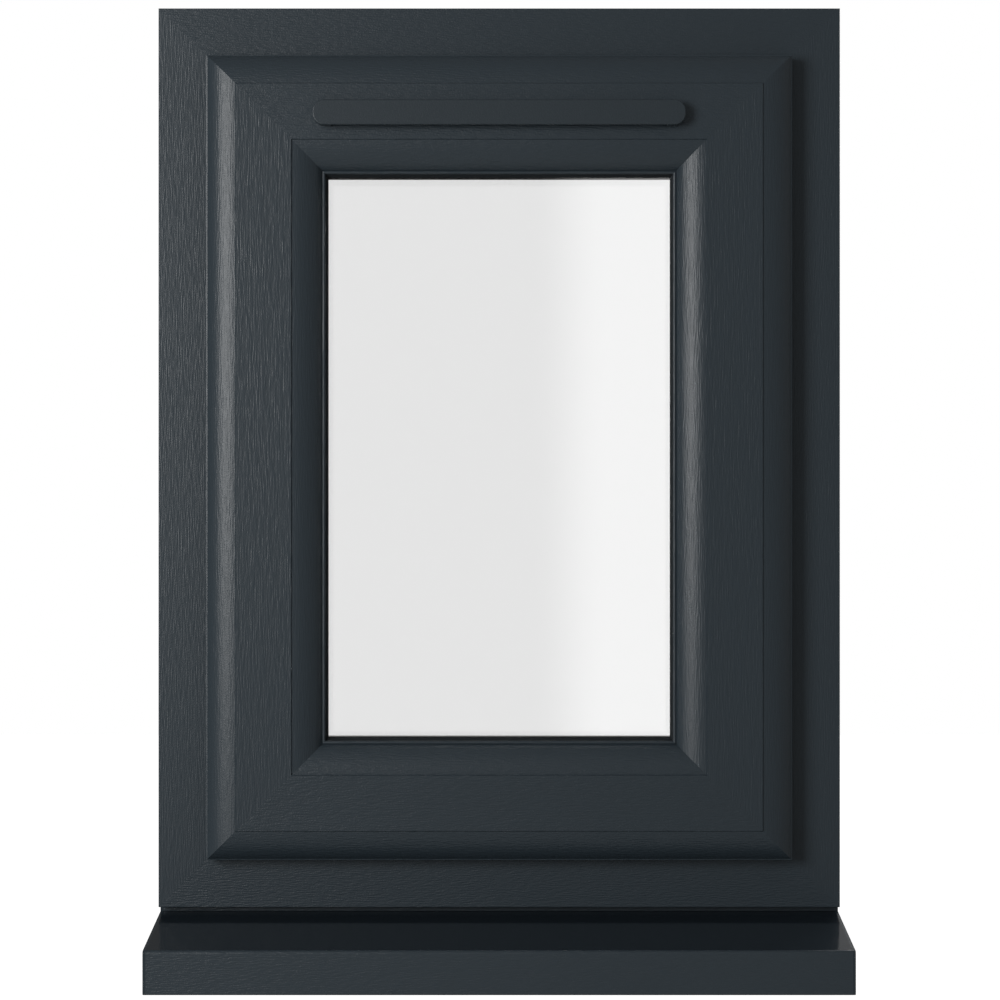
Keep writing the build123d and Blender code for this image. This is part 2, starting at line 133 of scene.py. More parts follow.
class BarSizes(bpy.types.PropertyGroup):
    """Cross-sections of frame, sash and bead."""
    frame_face: length("Frame face", "Width of the outer frame's flat face", 0.043)
    frame_leg: length("Frame leg", "Depth at which the frame's inner leg begins", 0.049)
    arris: length("Arris", "Radius on the bars' sharp edges", 0.0005)
    land_share: amount("Land share", "Share of the sash's outer land that is a flat chamfer", 0.85)
    land_tilt: tilt("Land tilt", "Tilt of that chamfer", 16.0)
    sash_body: length("Sash body", "Distance from the frame's edge to the sash's body", 0.055)
    seal_gap: length("Seal gap", "Gap that a weatherseal closes", 0.004)
    flat_start: length("Flat start", "Distance from the frame's edge to the sash's flat", 0.0558)
    flat_width: length("Flat width", "Width of the flat between the two mouldings", 0.0377)
    quirk_width: length("Quirk width", "Width of the small step beside each moulding", 0.0005)
    quirk_depth: length("Quirk depth", "Depth of that step", 0.0009)
    outer_width: length("Outer ovolo", "Width of the outer moulding", 0.0200)
    inner_width: length("Inner ovolo", "Width of the inner moulding", 0.0198)
    outer_top: tilt("Outer top tilt", "Tilt where the outer moulding begins", 5.0)
    outer_mid: tilt("Outer middle tilt", "Tilt where its two arcs meet", 20.5)
    outer_foot: tilt("Outer foot tilt", "Tilt where it ends", 55.0)
    outer_share: amount("Outer share", "Share of the width that the first arc takes", 0.48)
    inner_top: tilt("Inner top tilt", "Tilt where the inner moulding begins", 2.5)
    inner_mid: tilt("Inner middle tilt", "Tilt where its two arcs meet", 35.5)
    inner_foot: tilt("Inner foot tilt", "Tilt where it ends", 65.0)
    inner_share: amount("Inner share", "Share of the width that the first arc takes", 0.77)
    lip_bead: length("Lip bead", "Width of the rounded bead along the glazing lip", 0.0021)
    lip_rise: length("Lip rise", "Height of that bead", 0.0006)
    bead_nose: length("Bead nose", "Thickness of the glazing bead at the glass", 0.0026)
    bead_land: length("Bead land", "Flat part of the bead beside the sash", 0.003)


class SillSizes(bpy.types.PropertyGroup):
    """Cross-section of the sill."""
    upstand: length("Upstand", "Depth of the low upstand's front", 0.0105)
    slope_top: length("Slope top", "Height at which the slope leaves the upstand", 0.02575)
    slope_foot: length("Slope foot", "Height at which it meets the nose", 0.0138)
    nose_back: length("Nose back", "Depth of the nose's back", -0.070)
    bed: length("Bed", "Depth at which the flat bed begins", -0.030)
    lift: length("Lift", "Height of the overhang's underside", 0.003)
    nose_round: length("Nose round", "Radius on the nose's upper edge", 0.0024)
    drip_round: length("Drip round", "Radius on its lower edges", 0.0016)
    edge_round: length("Edge round", "Radius on the other edges", 0.0004)
    cap_chamfer: length("Cap chamfer", "Chamfer on the end caps", 0.00012)


class FittingSizes(bpy.types.PropertyGroup):
    """Vent, seals and handle."""
    vent_corner: length("Vent corner", "Radius of the vent's ends", 0.0077)
    canopy_round: length("Canopy round", "Radius on the canopy's front edge", 0.0008)
    canopy_reach: length("Canopy reach", "How far each end stands past the packed one", 0.0004)
    canopy_wall: length("Canopy wall", "Its wall", 0.0016)
    canopy_end: length("Canopy end", "Solid block at each end of the canopy", 0.012)
    slot_height: length("Slot height", "Height of the slot through the sash", 0.010)
    slot_length: length("Slot length", "Its length", 0.214)
    flap_gap: length("Flap gap", "Gap round the inner flap", 0.0003)
    flap_round: length("Flap round", "Radius on the flap's edge", 0.0008)
    grip_length: length("Grip length", "Length of the ridge that a finger pulls", 0.040)
    grip_height: length("Grip height", "Its height", 0.0016)
    grip_proud: length("Grip proud", "How far it stands off the flap", 0.0014)
    contact_gap: length("Contact gap", "Hair's breadth between rubber and glass", 0.00005)
    gasket_lean: length("Gasket lean", "How far a gasket's edge leans in towards the glass", 0.0023)
    gasket_sight: length("Gasket sight", "How far it covers the glass beyond the lip", 0.0021)
    pane_arris: length("Pane arris", "Ground edge of a pane", 0.0005)
    base_round: length("Base round", "Radius on the handle base's edge", 0.003)
    arm_round: length("Arm round", "Radius on the arm's back edge", 0.0038)
    arm_foot: length("Arm foot", "Radius on its edge towards the sash", 0.0012)
    arm_tip: length("Arm tip", "Half the arm's width at its tip", 0.007)
    button_round: length("Button round", "Radius on the lock button's edge", 0.0007)
    key_slot: length("Key slot", "Width of the slot in the button", 0.0010)


class FinishColours(bpy.types.PropertyGroup):
    """Colours of the pieces."""
    foil: colour("Foil", "Anthracite foil on frame, sash and sill", "#303A41")
    # The slope's foil is drawn darker than the frame's foil: painted shade for the shade under the
    # frame and the dark frame that the glossy slope mirrors
    shaded_slope_foil: colour("Smooth foil", "Foil on the sill's slope", "#242B31")
    moulded_plastic: colour("Moulded plastic", "Vent and end caps, matched to the foil", "#2F383E")
    body_plastic: colour("Body plastic", "Extruded plastic under the foil", "#1F2427")
    rubber: colour("Rubber", "Gaskets and seals", "#24282B")
    spacer: colour("Spacer", "Spacer between the panes", "#16181A")
    glass: colour("Glass", "Tint of the clear float glass", "#F3F3F3")
    coated_metal: colour("Coated metal", "Powder-coated handle", "#2A3136")
    steel: colour("Steel", "Stainless steel of the stays", "#A9A9A6")
    zinc: colour("Zinc", "Plated steel of the lock bar", "#B5B2A6")
    packer: colour("Packer", "Glazing packers", "#2F5D8C")


class StudioSettings(bpy.types.PropertyGroup):
    """Camera, lamps, floor and surroundings."""
    camera_distance: length("Camera distance", "From the frame's outside face to the lens", 1.774)
    camera_height: length("Camera height", "Height of the lens", 0.3109)
    camera_side: length("Camera side", "Lens's place left or right of the middle", 0.00055)
    lens: amount("Lens", "Focal length in millimetres, on a 36 mm sensor", 92.6)
    softbox_side: length("Softbox side", "How far left of the middle the softbox stands", 1.3)
    softbox_front: length("Softbox front", "How far in front of the frame it stands", 1.55)
    softbox_height: length("Softbox height", "Height of its middle", 0.66)
    softbox_wide: length("Softbox width", "Its width", 0.78)
    softbox_tall: length("Softbox tall", "Its height from end to end", 0.95)
    softbox_power: amount("Softbox power", "Its power in watts", 23.3)
    back_lamp_power: amount("Back lamp power", "Power in watts of the room side's softbox", 30.0)
    room_glow: amount("Room glow", "Brightness of the room in front", 0.215)
    room_left: amount("Room left", "Brightness of the room behind on the left", 0.10)
    room_right: amount("Room right", "Brightness of the room behind on the right", 0.26)
    card_glow: amount("Card glow", "Brightness of the card that the glass mirrors", 2.9)
    floor_height: length("Floor height", "Height of the floor below the hung window", -0.95)


def linear_colour(hex_text):
    """An sRGB hex value as linear red, green, blue and alpha."""
    parts = [int(hex_text[i:i + 2], 16) / 255 for i in (1, 3, 5)]
    return [c / 12.92 if c <= 0.04045 else ((c + 0.055) / 1.055) ** 2.4 for c in parts] + [1.0]


def add_node(tree, kind, inputs=None, **settings):
    """Adds a node with its settings. An input gets a value, or a link from another node."""
    node = tree.nodes.new(kind)
    for name, value in settings.items():
        setattr(node, name, value)
    for key, value in (inputs or {}).items():
        if isinstance(value, bpy.types.NodeSocket):
            tree.links.new(value, node.inputs[key])
        else:
            node.inputs[key].default_value = value
    return node


def new_material(name):
    """A node material and its node tree, still empty."""
    material = bpy.data.materials.new(name)
    material.use_nodes = True
    material.node_tree.nodes.clear()
    return material, material.node_tree


def end_material(tree, inputs):
    """Ends a material with the shader that takes these values and links."""
    shader = add_node(tree, "ShaderNodeBsdfPrincipled", inputs)
    add_node(tree, "ShaderNodeOutputMaterial", {"Surface": shader.outputs["BSDF"]})


def finish_colours():
    """The colours that the user can set."""
    return bpy.context.scene.window_colours


def toned(hex_text, shares):
    """Two tones of a colour, from the share of its brightness that each has."""
    base = linear_colour(hex_text)[:3]
    return [[c * share for c in base] + [1.0] for share in shares]


def grain_scale(axis, across, along):
    """Pattern scale along X, Y and Z, in repeats per metre, for grain that runs along one axis."""
    return [1 / along if name == axis else 1 / across for name in "XYZ"]


def grain_noise(tree, place, axis, across, along, detail):
    """Noise drawn out along one axis, with strokes this far apart and this long."""
    scaled = add_node(tree, "ShaderNodeMapping", {
        "Vector": place, "Scale": grain_scale(axis, across, along)})
    noise = add_node(tree, "ShaderNodeTexNoise", {
        "Vector": scaled.outputs[0], "Scale": 1.0, "Detail": detail})
    return noise.outputs["Fac"]


# Foiled PVC-U. The foil is printed plain anthracite and embossed by a roller with a wood grain,
# which gives the eye satin strokes along each bar, with fine pits between, that show best where
# light crosses them. On the rails light runs along the grain, so there the strokes are drawn
# deeper and shorter to show at all.
GRAIN_PITCH = 0.85 * MM
GRAIN_RUN = {"X": 5.5 * MM, "Z": 9.5 * MM}
GRAIN_DEPTH = {"X": 0.13 * MM, "Z": 0.078 * MM}
GRAIN_CONTRAST = (0.3, 0.7)
GRAIN_SWAY_PITCH = 16.0 * MM
GRAIN_SWAY = 0.5 * MM
PATCH_SCALE = 2.3
PATCH_CONTRAST = (0.3, 0.65)
PATCH_DEPTH = (0.7, 1.0)
PORE_PITCH = 0.9 * MM
PORE_RUN = 1.3 * PORE_PITCH
PORE_DEPTH = {"X": 0.17 * MM, "Z": 0.07 * MM}
FOIL_ROUGHNESS = (0.41, 0.37)
# Tones of the foil, darker in the grain's grooves and paler on its ridges: painted shade in the
# grooves, on top of the shading that the bump gives
FOIL_GROOVE_SHADE = (0.97, 1.03)
PVC_IOR = 1.5


def foiled_pvc(axis):
    """Foiled PVC-U, embossed with a wood grain that runs along one axis."""
    name = "foiled_pvc_woodgrain_" + axis.lower()
    if name in bpy.data.materials:
        return bpy.data.materials[name]
    material, tree = new_material(name)
    place = add_node(tree, "ShaderNodeTexCoord").outputs["Object"]
    sway_place = add_node(tree, "ShaderNodeMapping", {
        "Vector": place, "Scale": grain_scale(axis, GRAIN_SWAY_PITCH, 2 * GRAIN_SWAY_PITCH)})
    sway = add_node(tree, "ShaderNodeTexNoise", {
        "Vector": sway_place.outputs[0], "Scale": 1.0, "Detail": 2.0, "Roughness": 0.5})
    centred = add_node(tree, "ShaderNodeVectorMath", {
        0: sway.outputs["Color"], 1: (0.5, 0.5, 0.5)}, operation="SUBTRACT")
    swayed = add_node(tree, "ShaderNodeVectorMath", {
        0: centred.outputs[0], 1: (2 * GRAIN_SWAY,) * 3, 2: place}, operation="MULTIPLY_ADD")
    grain = grain_noise(tree, swayed.outputs[0], axis, GRAIN_PITCH, GRAIN_RUN[axis], 0.0)
    streaks = add_node(tree, "ShaderNodeMapRange", {
        "Value": grain, "From Min": GRAIN_CONTRAST[0], "From Max": GRAIN_CONTRAST[1]})
    patches = add_node(tree, "ShaderNodeTexNoise", {
        "Vector": sway_place.outputs[0], "Scale": PATCH_SCALE, "Detail": 1.0})
    patch_depth = add_node(tree, "ShaderNodeMapRange", {
        "Value": patches.outputs["Fac"],
        "From Min": PATCH_CONTRAST[0], "From Max": PATCH_CONTRAST[1],
        "To Min": PATCH_DEPTH[0], "To Max": PATCH_DEPTH[1]})
    relief = add_node(tree, "ShaderNodeMath", {
        0: streaks.outputs[0], 1: patch_depth.outputs[0]}, operation="MULTIPLY")
    coarse_bump = add_node(tree, "ShaderNodeBump", {
        "Strength": 1.0, "Distance": GRAIN_DEPTH[axis], "Height": relief.outputs[0]})
    fine_bump = add_node(tree, "ShaderNodeBump", {
        "Strength": 1.0, "Distance": PORE_DEPTH[axis],
        "Height": grain_noise(tree, place, axis, PORE_PITCH, PORE_RUN, 1.0),
        "Normal": coarse_bump.outputs[0]})
    # The colour follows the relief, as painted shade in the grain's grooves
    dark, pale = toned(finish_colours().foil, FOIL_GROOVE_SHADE)
    tint = add_node(tree, "ShaderNodeMix", {
        0: streaks.outputs[0], 6: dark, 7: pale}, data_type="RGBA")
    rough = add_node(tree, "ShaderNodeMapRange", {
        "Value": relief.outputs[0], "To Min": FOIL_ROUGHNESS[0], "To Max": FOIL_ROUGHNESS[1]})
    end_material(tree, {
        "Base Color": tint.outputs[2], "Roughness": rough.outputs[0],
        "Normal": fine_bump.outputs[0], "IOR": PVC_IOR})
    return material


# Smooth PVC-U foil on the sill's slope: calendered, not embossed, so it mirrors what stands on it.
SLOPE_RIPPLE = 18.0 * MM
SLOPE_RIPPLE_RUN = 4 * SLOPE_RIPPLE
SLOPE_RIPPLE_DEPTH = 0.02 * MM
SLOPE_ROUGHNESS = (0.08, 0.14)


def shaded_slope_foil():
    """Smooth glossy foil with the faint ripple of a calendered sheet."""
    name = "foiled_pvc_smooth"
    if name in bpy.data.materials:
        return bpy.data.materials[name]
    material, tree = new_material(name)
    place = add_node(tree, "ShaderNodeTexCoord").outputs["Object"]
    ripple = grain_noise(tree, place, "X", SLOPE_RIPPLE, SLOPE_RIPPLE_RUN, 2.0)
    bump = add_node(tree, "ShaderNodeBump", {
        "Strength": 1.0, "Distance": SLOPE_RIPPLE_DEPTH, "Height": ripple})
    rough = add_node(tree, "ShaderNodeMapRange", {
        "Value": ripple, "To Min": SLOPE_ROUGHNESS[0], "To Max": SLOPE_ROUGHNESS[1]})
    end_material(tree, {
        # Its colour is darker than the frame's foil, as painted shade on the slope
        "Base Color": linear_colour(finish_colours().shaded_slope_foil),
        "Roughness": rough.outputs[0], "Normal": bump.outputs[0], "IOR": PVC_IOR})
    return material


# Extruded PVC-U without foil, drawn through a steel die, which leaves faint lines along the bar.
DIE_LINE_PITCH = 0.9 * MM
DIE_LINE_RUN = 400 * DIE_LINE_PITCH
DIE_LINE_DEPTH = 0.01 * MM
DIE_LINE_TINT = (0.85, 1.15)
EXTRUDED_ROUGHNESS = 0.42


def extruded_pvc(axis):
    """Bare extruded PVC-U with die lines along one axis."""
    name = "extruded_pvc_" + axis.lower()
    if name in bpy.data.materials:
        return bpy.data.materials[name]
    material, tree = new_material(name)
    place = add_node(tree, "ShaderNodeTexCoord").outputs["Object"]
    lines = grain_noise(tree, place, axis, DIE_LINE_PITCH, DIE_LINE_RUN, 3.0)
    bump = add_node(tree, "ShaderNodeBump", {
        "Strength": 1.0, "Distance": DIE_LINE_DEPTH, "Height": lines})
    dark, pale = toned(finish_colours().body_plastic, DIE_LINE_TINT)
    tint = add_node(tree, "ShaderNodeMix", {0: lines, 6: dark, 7: pale}, data_type="RGBA")
    end_material(tree, {
        "Base Color": tint.outputs[2], "Roughness": EXTRUDED_ROUGHNESS,
        "Normal": bump.outputs[0]})
    return material


# EPDM rubber, extruded and dull, with a dusty speckle. It shines less than plastic does. The real
# specks are finer than a pixel and are drawn at 0.8 mm, so that they show.
RUBBER_SPECK = 0.8 * MM
RUBBER_SPECK_DEPTH = 0.01 * MM
RUBBER_ROUGHNESS = (0.6, 0.85)
RUBBER_SHINE = 0.2


def epdm_rubber():
    """Extruded EPDM rubber, black and dull."""
    name = "epdm_rubber_extruded"
    if name in bpy.data.materials:
        return bpy.data.materials[name]
    material, tree = new_material(name)
    place = add_node(tree, "ShaderNodeTexCoord").outputs["Object"]
    specks = add_node(tree, "ShaderNodeTexNoise", {
        "Vector": place, "Scale": 1 / RUBBER_SPECK, "Detail": 2.0})
    rough = add_node(tree, "ShaderNodeMapRange", {
        "Value": specks.outputs["Fac"],
        "To Min": RUBBER_ROUGHNESS[0], "To Max": RUBBER_ROUGHNESS[1]})
    bump = add_node(tree, "ShaderNodeBump", {
        "Strength": 1.0, "Distance": RUBBER_SPECK_DEPTH, "Height": specks.outputs["Fac"]})
    end_material(tree, {
        "Base Color": linear_colour(finish_colours().rubber), "Roughness": rough.outputs[0],
        "Specular IOR Level": RUBBER_SHINE, "Normal": bump.outputs[0]})
    return material


SHARP_ANGLE = math.radians(28)


def smooth_by_angle(mesh):
    """Smooths every face and keeps the edges that turn by more than the sharp angle hard."""
    work = bmesh.new()
    work.from_mesh(mesh)
    for face in work.faces:
        face.smooth = True
    for edge in work.edges:
        sharp = len(edge.link_faces) == 2 and edge.calc_face_angle(0) > SHARP_ANGLE
        edge.smooth = not sharp
    work.to_mesh(mesh)
    work.free()


def add_piece(name, work, materials, node):
    """Turns a bmesh into a named piece on the one body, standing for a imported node."""
    bmesh.ops.recalc_face_normals(work, faces=work.faces)
    mesh = bpy.data.meshes.new(name)
    work.to_mesh(mesh)
    work.free()
    smooth_by_angle(mesh)
    for material in materials:
        mesh.materials.append(material)
    piece = bpy.data.objects.new(name, mesh)
    even = piece.modifiers.new("even_shading", "WEIGHTED_NORMAL")
    even.keep_sharp = True
    bpy.context.scene.collection.objects.link(piece)
    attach(piece, BODY)
    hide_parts(node)
    return piece


def rounded_outline(corners, steps=CORNER_STEPS):
    """A closed outline. Each corner is (x, y, radius), and one with a radius becomes an arc."""
    outline = []
    count = len(corners)
    for i, (x, y, radius) in enumerate(corners):
        here = Vector((x, y))
        if radius <= 0:
            outline.append(here)
            continue
        before = (Vector(corners[i - 1][:2]) - here).normalized()
        after = (Vector(corners[(i + 1) % count][:2]) - here).normalized()
        half = before.angle(after) / 2
        centre = here + (before + after).normalized() * radius / math.sin(half)
        start = here + before * radius / math.tan(half) - centre
        end = here + after * radius / math.tan(half) - centre
        sweep = start.angle_signed(end)
        for k in range(steps + 1):
            turned = start.copy()
            turned.rotate(Matrix.Rotation(-sweep * k / steps, 2))
            outline.append(centre + turned)
    return outline


def arc_points(start, way, tilt_start, tilt_end, width, steps):
    """Points of an arc that leaves start at one tilt to the face and ends at another."""
    radius = width / (math.sin(tilt_end) - math.sin(tilt_start))
    points = []
    for k in range(steps + 1):
        lean = tilt_start + (tilt_end - tilt_start) * k / steps
        across = radius * (math.sin(lean) - math.sin(tilt_start))
        fall = radius * (math.cos(tilt_start) - math.cos(lean))
        points.append((start[0] + way * across, start[1] + fall))
    return points


def moulding_points(start, way, tilts, first_share, width):
    """Two tangent arcs of an ovolo moulding, from the sash's face downwards."""
    first = arc_points(start, way, tilts[0], tilts[1], width * first_share, OVOLO_STEPS)
    second = arc_points(first[-1], way, tilts[1], tilts[2], width * (1 - first_share), OVOLO_STEPS)
    return first + second[1:]


def on_side(side, inward, depth, along):
    """A point in space, from its distance inward, its depth and its place along a side."""
    if side == "left":
        return Vector((FRAME_LEFT + inward, depth, FRAME_LOW + along))
    if side == "right":
        return Vector((FRAME_RIGHT - inward, depth, FRAME_HIGH - along))
    if side == "bottom":
        return Vector((FRAME_RIGHT - along, depth, FRAME_LOW + inward))
    return Vector((FRAME_LEFT + along, depth, FRAME_HIGH - inward))


def side_length(side):
    """The frame's whole length along a side."""
    return FRAME_HIGH - FRAME_LOW if side in ("left", "right") else FRAME_RIGHT - FRAME_LEFT


def grain_axis(side):
    """The axis that a side's bar, and so its grain, runs along."""
    return "Z" if side in ("left", "right") else "X"


def bar(outline, side, zone=None):
    """A bmesh of one mitred bar. zone gives a face's material from its edge's middle."""
    work = bmesh.new()
    whole = side_length(side)
    starts = [work.verts.new(on_side(side, u, y, u)) for u, y in outline]
    ends = [work.verts.new(on_side(side, u, y, whole - u)) for u, y in outline]
    for i, (u, y) in enumerate(outline):
        k = (i + 1) % len(outline)
        face = work.faces.new((starts[i], starts[k], ends[k], ends[i]))
        if zone:
            face.material_index = zone((u + outline[k][0]) / 2, (y + outline[k][1]) / 2)
    work.faces.new(starts)
    work.faces.new(ends)
    return work


def ring(outline):
    """A bmesh of four bars that run into each other round the window."""
    work = bmesh.new()
    loops = [[work.verts.new(on_side(side, u, y, u)) for u, y in outline]
             for side in ("left", "top", "right", "bottom")]
    for i, loop in enumerate(loops):
        following = loops[(i + 1) % len(loops)]
        for j in range(len(outline)):
            k = (j + 1) % len(outline)
            work.faces.new((loop[j], loop[k], following[k], following[j]))
    return work


def prism(outline, low, high, zone=None):
    """A bmesh of an outline in Y and Z, run along X."""
    work = bmesh.new()
    starts = [work.verts.new((low, y, z)) for y, z in outline]
    ends = [work.verts.new((high, y, z)) for y, z in outline]
    for i, (y, z) in enumerate(outline):
        k = (i + 1) % len(outline)
        face = work.faces.new((starts[i], starts[k], ends[k], ends[i]))
        if zone:
            face.material_index = zone((y + outline[k][0]) / 2, (z + outline[k][1]) / 2)
    work.faces.new(starts)
    work.faces.new(ends)
    return work


def stack(loops):
    """A bmesh of a closed shape from loops of points, each joined to the next, with end caps."""
    work = bmesh.new()
    rows = [[work.verts.new(point) for point in loop] for loop in loops]
    for low, high in zip(rows, rows[1:]):
        for i in range(len(low)):
            k = (i + 1) % len(low)
            work.faces.new((low[i], low[k], high[k], high[i]))
    work.faces.new(rows[0])
    work.faces.new(rows[-1])
    return work


def block(low, high):
    """A bmesh of the box between two corners, for cutting."""
    (x0, y0, z0), (x1, y1, z1) = low, high
    return stack([[(x, y0, z0), (x, y1, z0), (x, y1, z1), (x, y0, z1)] for x in (x0, x1)])


def rounded_rectangle(wide, tall, corner):
    """Gives a function from an inset to the points in X and Z of a rounded rectangle."""
    def points(inset):
        half_x, half_z, radius = wide / 2 - inset, tall / 2 - inset, corner - inset
        return rounded_outline([(-half_x, -half_z, radius), (half_x, -half_z, radius),
                                (half_x, half_z, radius), (-half_x, half_z, radius)],
                               PLATE_STEPS)
    return points


# A circle is a rounded rectangle whose corners are just under its radius
NEARLY_ROUND = 0.999


def disc(radius):
    """Gives a function from an inset to the points of a circle."""
    return rounded_rectangle(2 * radius, 2 * radius, radius * NEARLY_ROUND)


def tapered_arm(root, tip, reach):
    """Gives a function from an inset to the points of an arm that narrows from root to tip."""
    def points(inset):
        outline = []
        for centre, radius, start in ((0.0, root, math.pi / 2), (reach, tip, -math.pi / 2)):
            for k in range(ARM_END_STEPS + 1):
                turn = start + math.pi * k / ARM_END_STEPS
                outline.append((centre + (radius - inset) * math.cos(turn),
                                (radius - inset) * math.sin(turn)))
        return outline
    return points


def raised_plate(points, centre, foot, top, rounding, foot_round=0.0, steps=EDGE_STEPS):
    """A plate that stands off the sash, with a rounded edge at its top and perhaps at its foot."""
    way = 1 if top > foot else -1
    levels = []
    if foot_round:
        for k in range(steps):
            lean = math.pi / 2 * k / steps
            levels.append((foot_round * (1 - math.sin(lean)),
                           foot + way * foot_round * (1 - math.cos(lean))))
    else:
        levels.append((0.0, foot))
    for k in range(steps + 1):
        lean = math.pi / 2 * k / steps
        levels.append((rounding * (1 - math.cos(lean)),
                       top - way * rounding * (1 - math.sin(lean))))
    return stack([[(centre[0] + x, depth, centre[1] + z) for x, z in points(inset)]
                  for inset, depth in levels])


# A corner moves in by no more than the inset divided by this, however sharp it is
SHARPEST_CORNER = 0.5


def drawn_in(outline, inset):
    """An outline moved inward all round by a small inset."""
    count = len(outline)
    area = sum(outline[i - 1][0] * outline[i][1] - outline[i][0] * outline[i - 1][1]
               for i in range(count))
    turn = 1 if area > 0 else -1
    moved = []
    for i in range(count):
        here = Vector(outline[i][:2])
        before = (here - Vector(outline[i - 1][:2])).normalized()
        after = (Vector(outline[(i + 1) % count][:2]) - here).normalized()
        inward = Vector((-before.y - after.y, before.x + after.x)).normalized() * turn
        lean = math.cos(before.angle(after) / 2)
        moved.append(here + inward * inset / max(lean, SHARPEST_CORNER))
    return moved


def centre_of(node):
    """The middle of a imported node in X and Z, then its spans along X, Y and Z."""
    spans = [span(node, axis) for axis in "XYZ"]
    return ((spans[0][0] + spans[0][1]) / 2, (spans[2][0] + spans[2][1]) / 2), spans


def cut_away(piece, cutters, operation="DIFFERENCE"):
    """Cuts shapes out of a piece, or joins them to it, and leaves the result as its mesh."""
    for cutter in cutters:
        cut = piece.modifiers.new("cut", "BOOLEAN")
        cut.operation = operation
        cut.solver = "EXACT"
        cut.object = cutter
    piece.modifiers.move(piece.modifiers.find("even_shading"), len(piece.modifiers) - 1)
    piece.modifiers["even_shading"].show_viewport = False
    graph = bpy.context.evaluated_depsgraph_get()
    mesh = bpy.data.meshes.new_from_object(piece.evaluated_get(graph))
    for cut in [m for m in piece.modifiers if m.type == "BOOLEAN"]:
        piece.modifiers.remove(cut)
    piece.data = mesh
    piece.modifiers["even_shading"].show_viewport = True
    smooth_by_angle(mesh)
    for cutter in cutters:
        bpy.data.meshes.remove(cutter.data)


def helper_object(work):
    """A temporary object for cutting or joining."""
    bmesh.ops.recalc_face_normals(work, faces=work.faces)
    mesh = bpy.data.meshes.new("cutter")
    work.to_mesh(mesh)
    work.free()
    piece = bpy.data.objects.new("cutter", mesh)
    bpy.context.scene.collection.objects.link(piece)
    return piece


def frame_outline(sizes):
    """The outer frame's cross-section: a deep box outside and a leg on the room side."""
    arris = sizes.arris
    corners = [
        (0, 0, arris),
        (sizes.frame_face, 0, arris),
        (sizes.frame_face, sizes.frame_leg, 0),
        (FRAME_FACE_EDGE, sizes.frame_leg, arris),
        (FRAME_FACE_EDGE, FRAME_BACK, arris),
        (0, FRAME_BACK, arris),
    ]
    return rounded_outline(corners)


def sash_outline(sizes):
    """The sash's cross-section: lip over the frame, two ovolos, glazing lip, body."""
    arris = sizes.arris
    moulding_top = SASH_FACE + sizes.quirk_depth
    flat_end = sizes.flat_start + sizes.flat_width
    outer_tilts = (sizes.outer_top, sizes.outer_mid, sizes.outer_foot)
    inner_tilts = (sizes.inner_top, sizes.inner_mid, sizes.inner_foot)
    outer = moulding_points((sizes.flat_start - sizes.quirk_width, moulding_top), -1,
                            outer_tilts, sizes.outer_share, sizes.outer_width)
    inner = moulding_points((flat_end + sizes.quirk_width, moulding_top), 1,
                            inner_tilts, sizes.inner_share, sizes.inner_width)
    outer_foot = outer[-1]
    inner_foot = inner[-1]
    land = (outer_foot[0] - SASH_EDGE) * sizes.land_share
    turn = (outer_foot[0] - land, outer_foot[1] + land * math.tan(sizes.land_tilt))
    edge = arc_points(turn, -1, sizes.land_tilt, math.pi / 2, turn[0] - SASH_EDGE,
                      LAND_STEPS)
    lip_radius = (sizes.lip_bead ** 2 / 4 + sizes.lip_rise ** 2) / (2 * sizes.lip_rise)
    reach = math.asin(sizes.lip_bead / 2 / lip_radius)
    lip_centre = (inner_foot[0] + sizes.lip_bead / 2, inner_foot[1] - sizes.lip_rise + lip_radius)
    lip = []
    for k in range(1, LIP_STEPS + 1):
        lean = -reach + 2 * reach * k / LIP_STEPS
        lip.append((lip_centre[0] + lip_radius * math.sin(lean),
                    lip_centre[1] - lip_radius * math.cos(lean)))
    back = rounded_outline([
        (lip[-1][0], LIP_BACK, 0),
        (REBATE, LIP_BACK, 0),
        (REBATE, SASH_BACK, arris),
        (sizes.sash_body, SASH_BACK, arris),
        (sizes.sash_body, -sizes.seal_gap, 0),
        (SASH_EDGE, -sizes.seal_gap, arris),
        (SASH_EDGE, edge[-1][1], 0),
    ])[:-1]
    points = [(sizes.flat_start, SASH_FACE)] + outer + edge
    points += [tuple(p) for p in reversed(back)]
    points += list(reversed(lip)) + list(reversed(inner)) + [(flat_end, SASH_FACE)]
    return points


# Powers that bend the glazing bead's quarter round a little away from a circle
BEAD_SPREAD = 0.9
BEAD_SWELL = 1.15


def bead_outline(sizes):
    """A glazing bead: thin at the glass, an ovolo up to the sash's inside face."""
    nose_edge = span("glazing_bead_left", "X")[1] - FRAME_LEFT
    land = REBATE + sizes.bead_land
    width = nose_edge - land
    rise = SASH_BACK - BEAD_FRONT - sizes.bead_nose
    points = [(REBATE, BEAD_FRONT), (nose_edge, BEAD_FRONT)]
    for k in range(BEAD_STEPS + 1):
        lean = math.pi / 2 * k / BEAD_STEPS
        across = nose_edge - width * (1 - math.cos(lean)) ** BEAD_SPREAD
        points.append((across, SASH_BACK - rise + rise * math.sin(lean) ** BEAD_SWELL))
    points.append((REBATE, SASH_BACK))
    return points


# A face this close to the frame's outer side, as a share of the arris, is turned to the wall
WALL_SIDE = 0.2


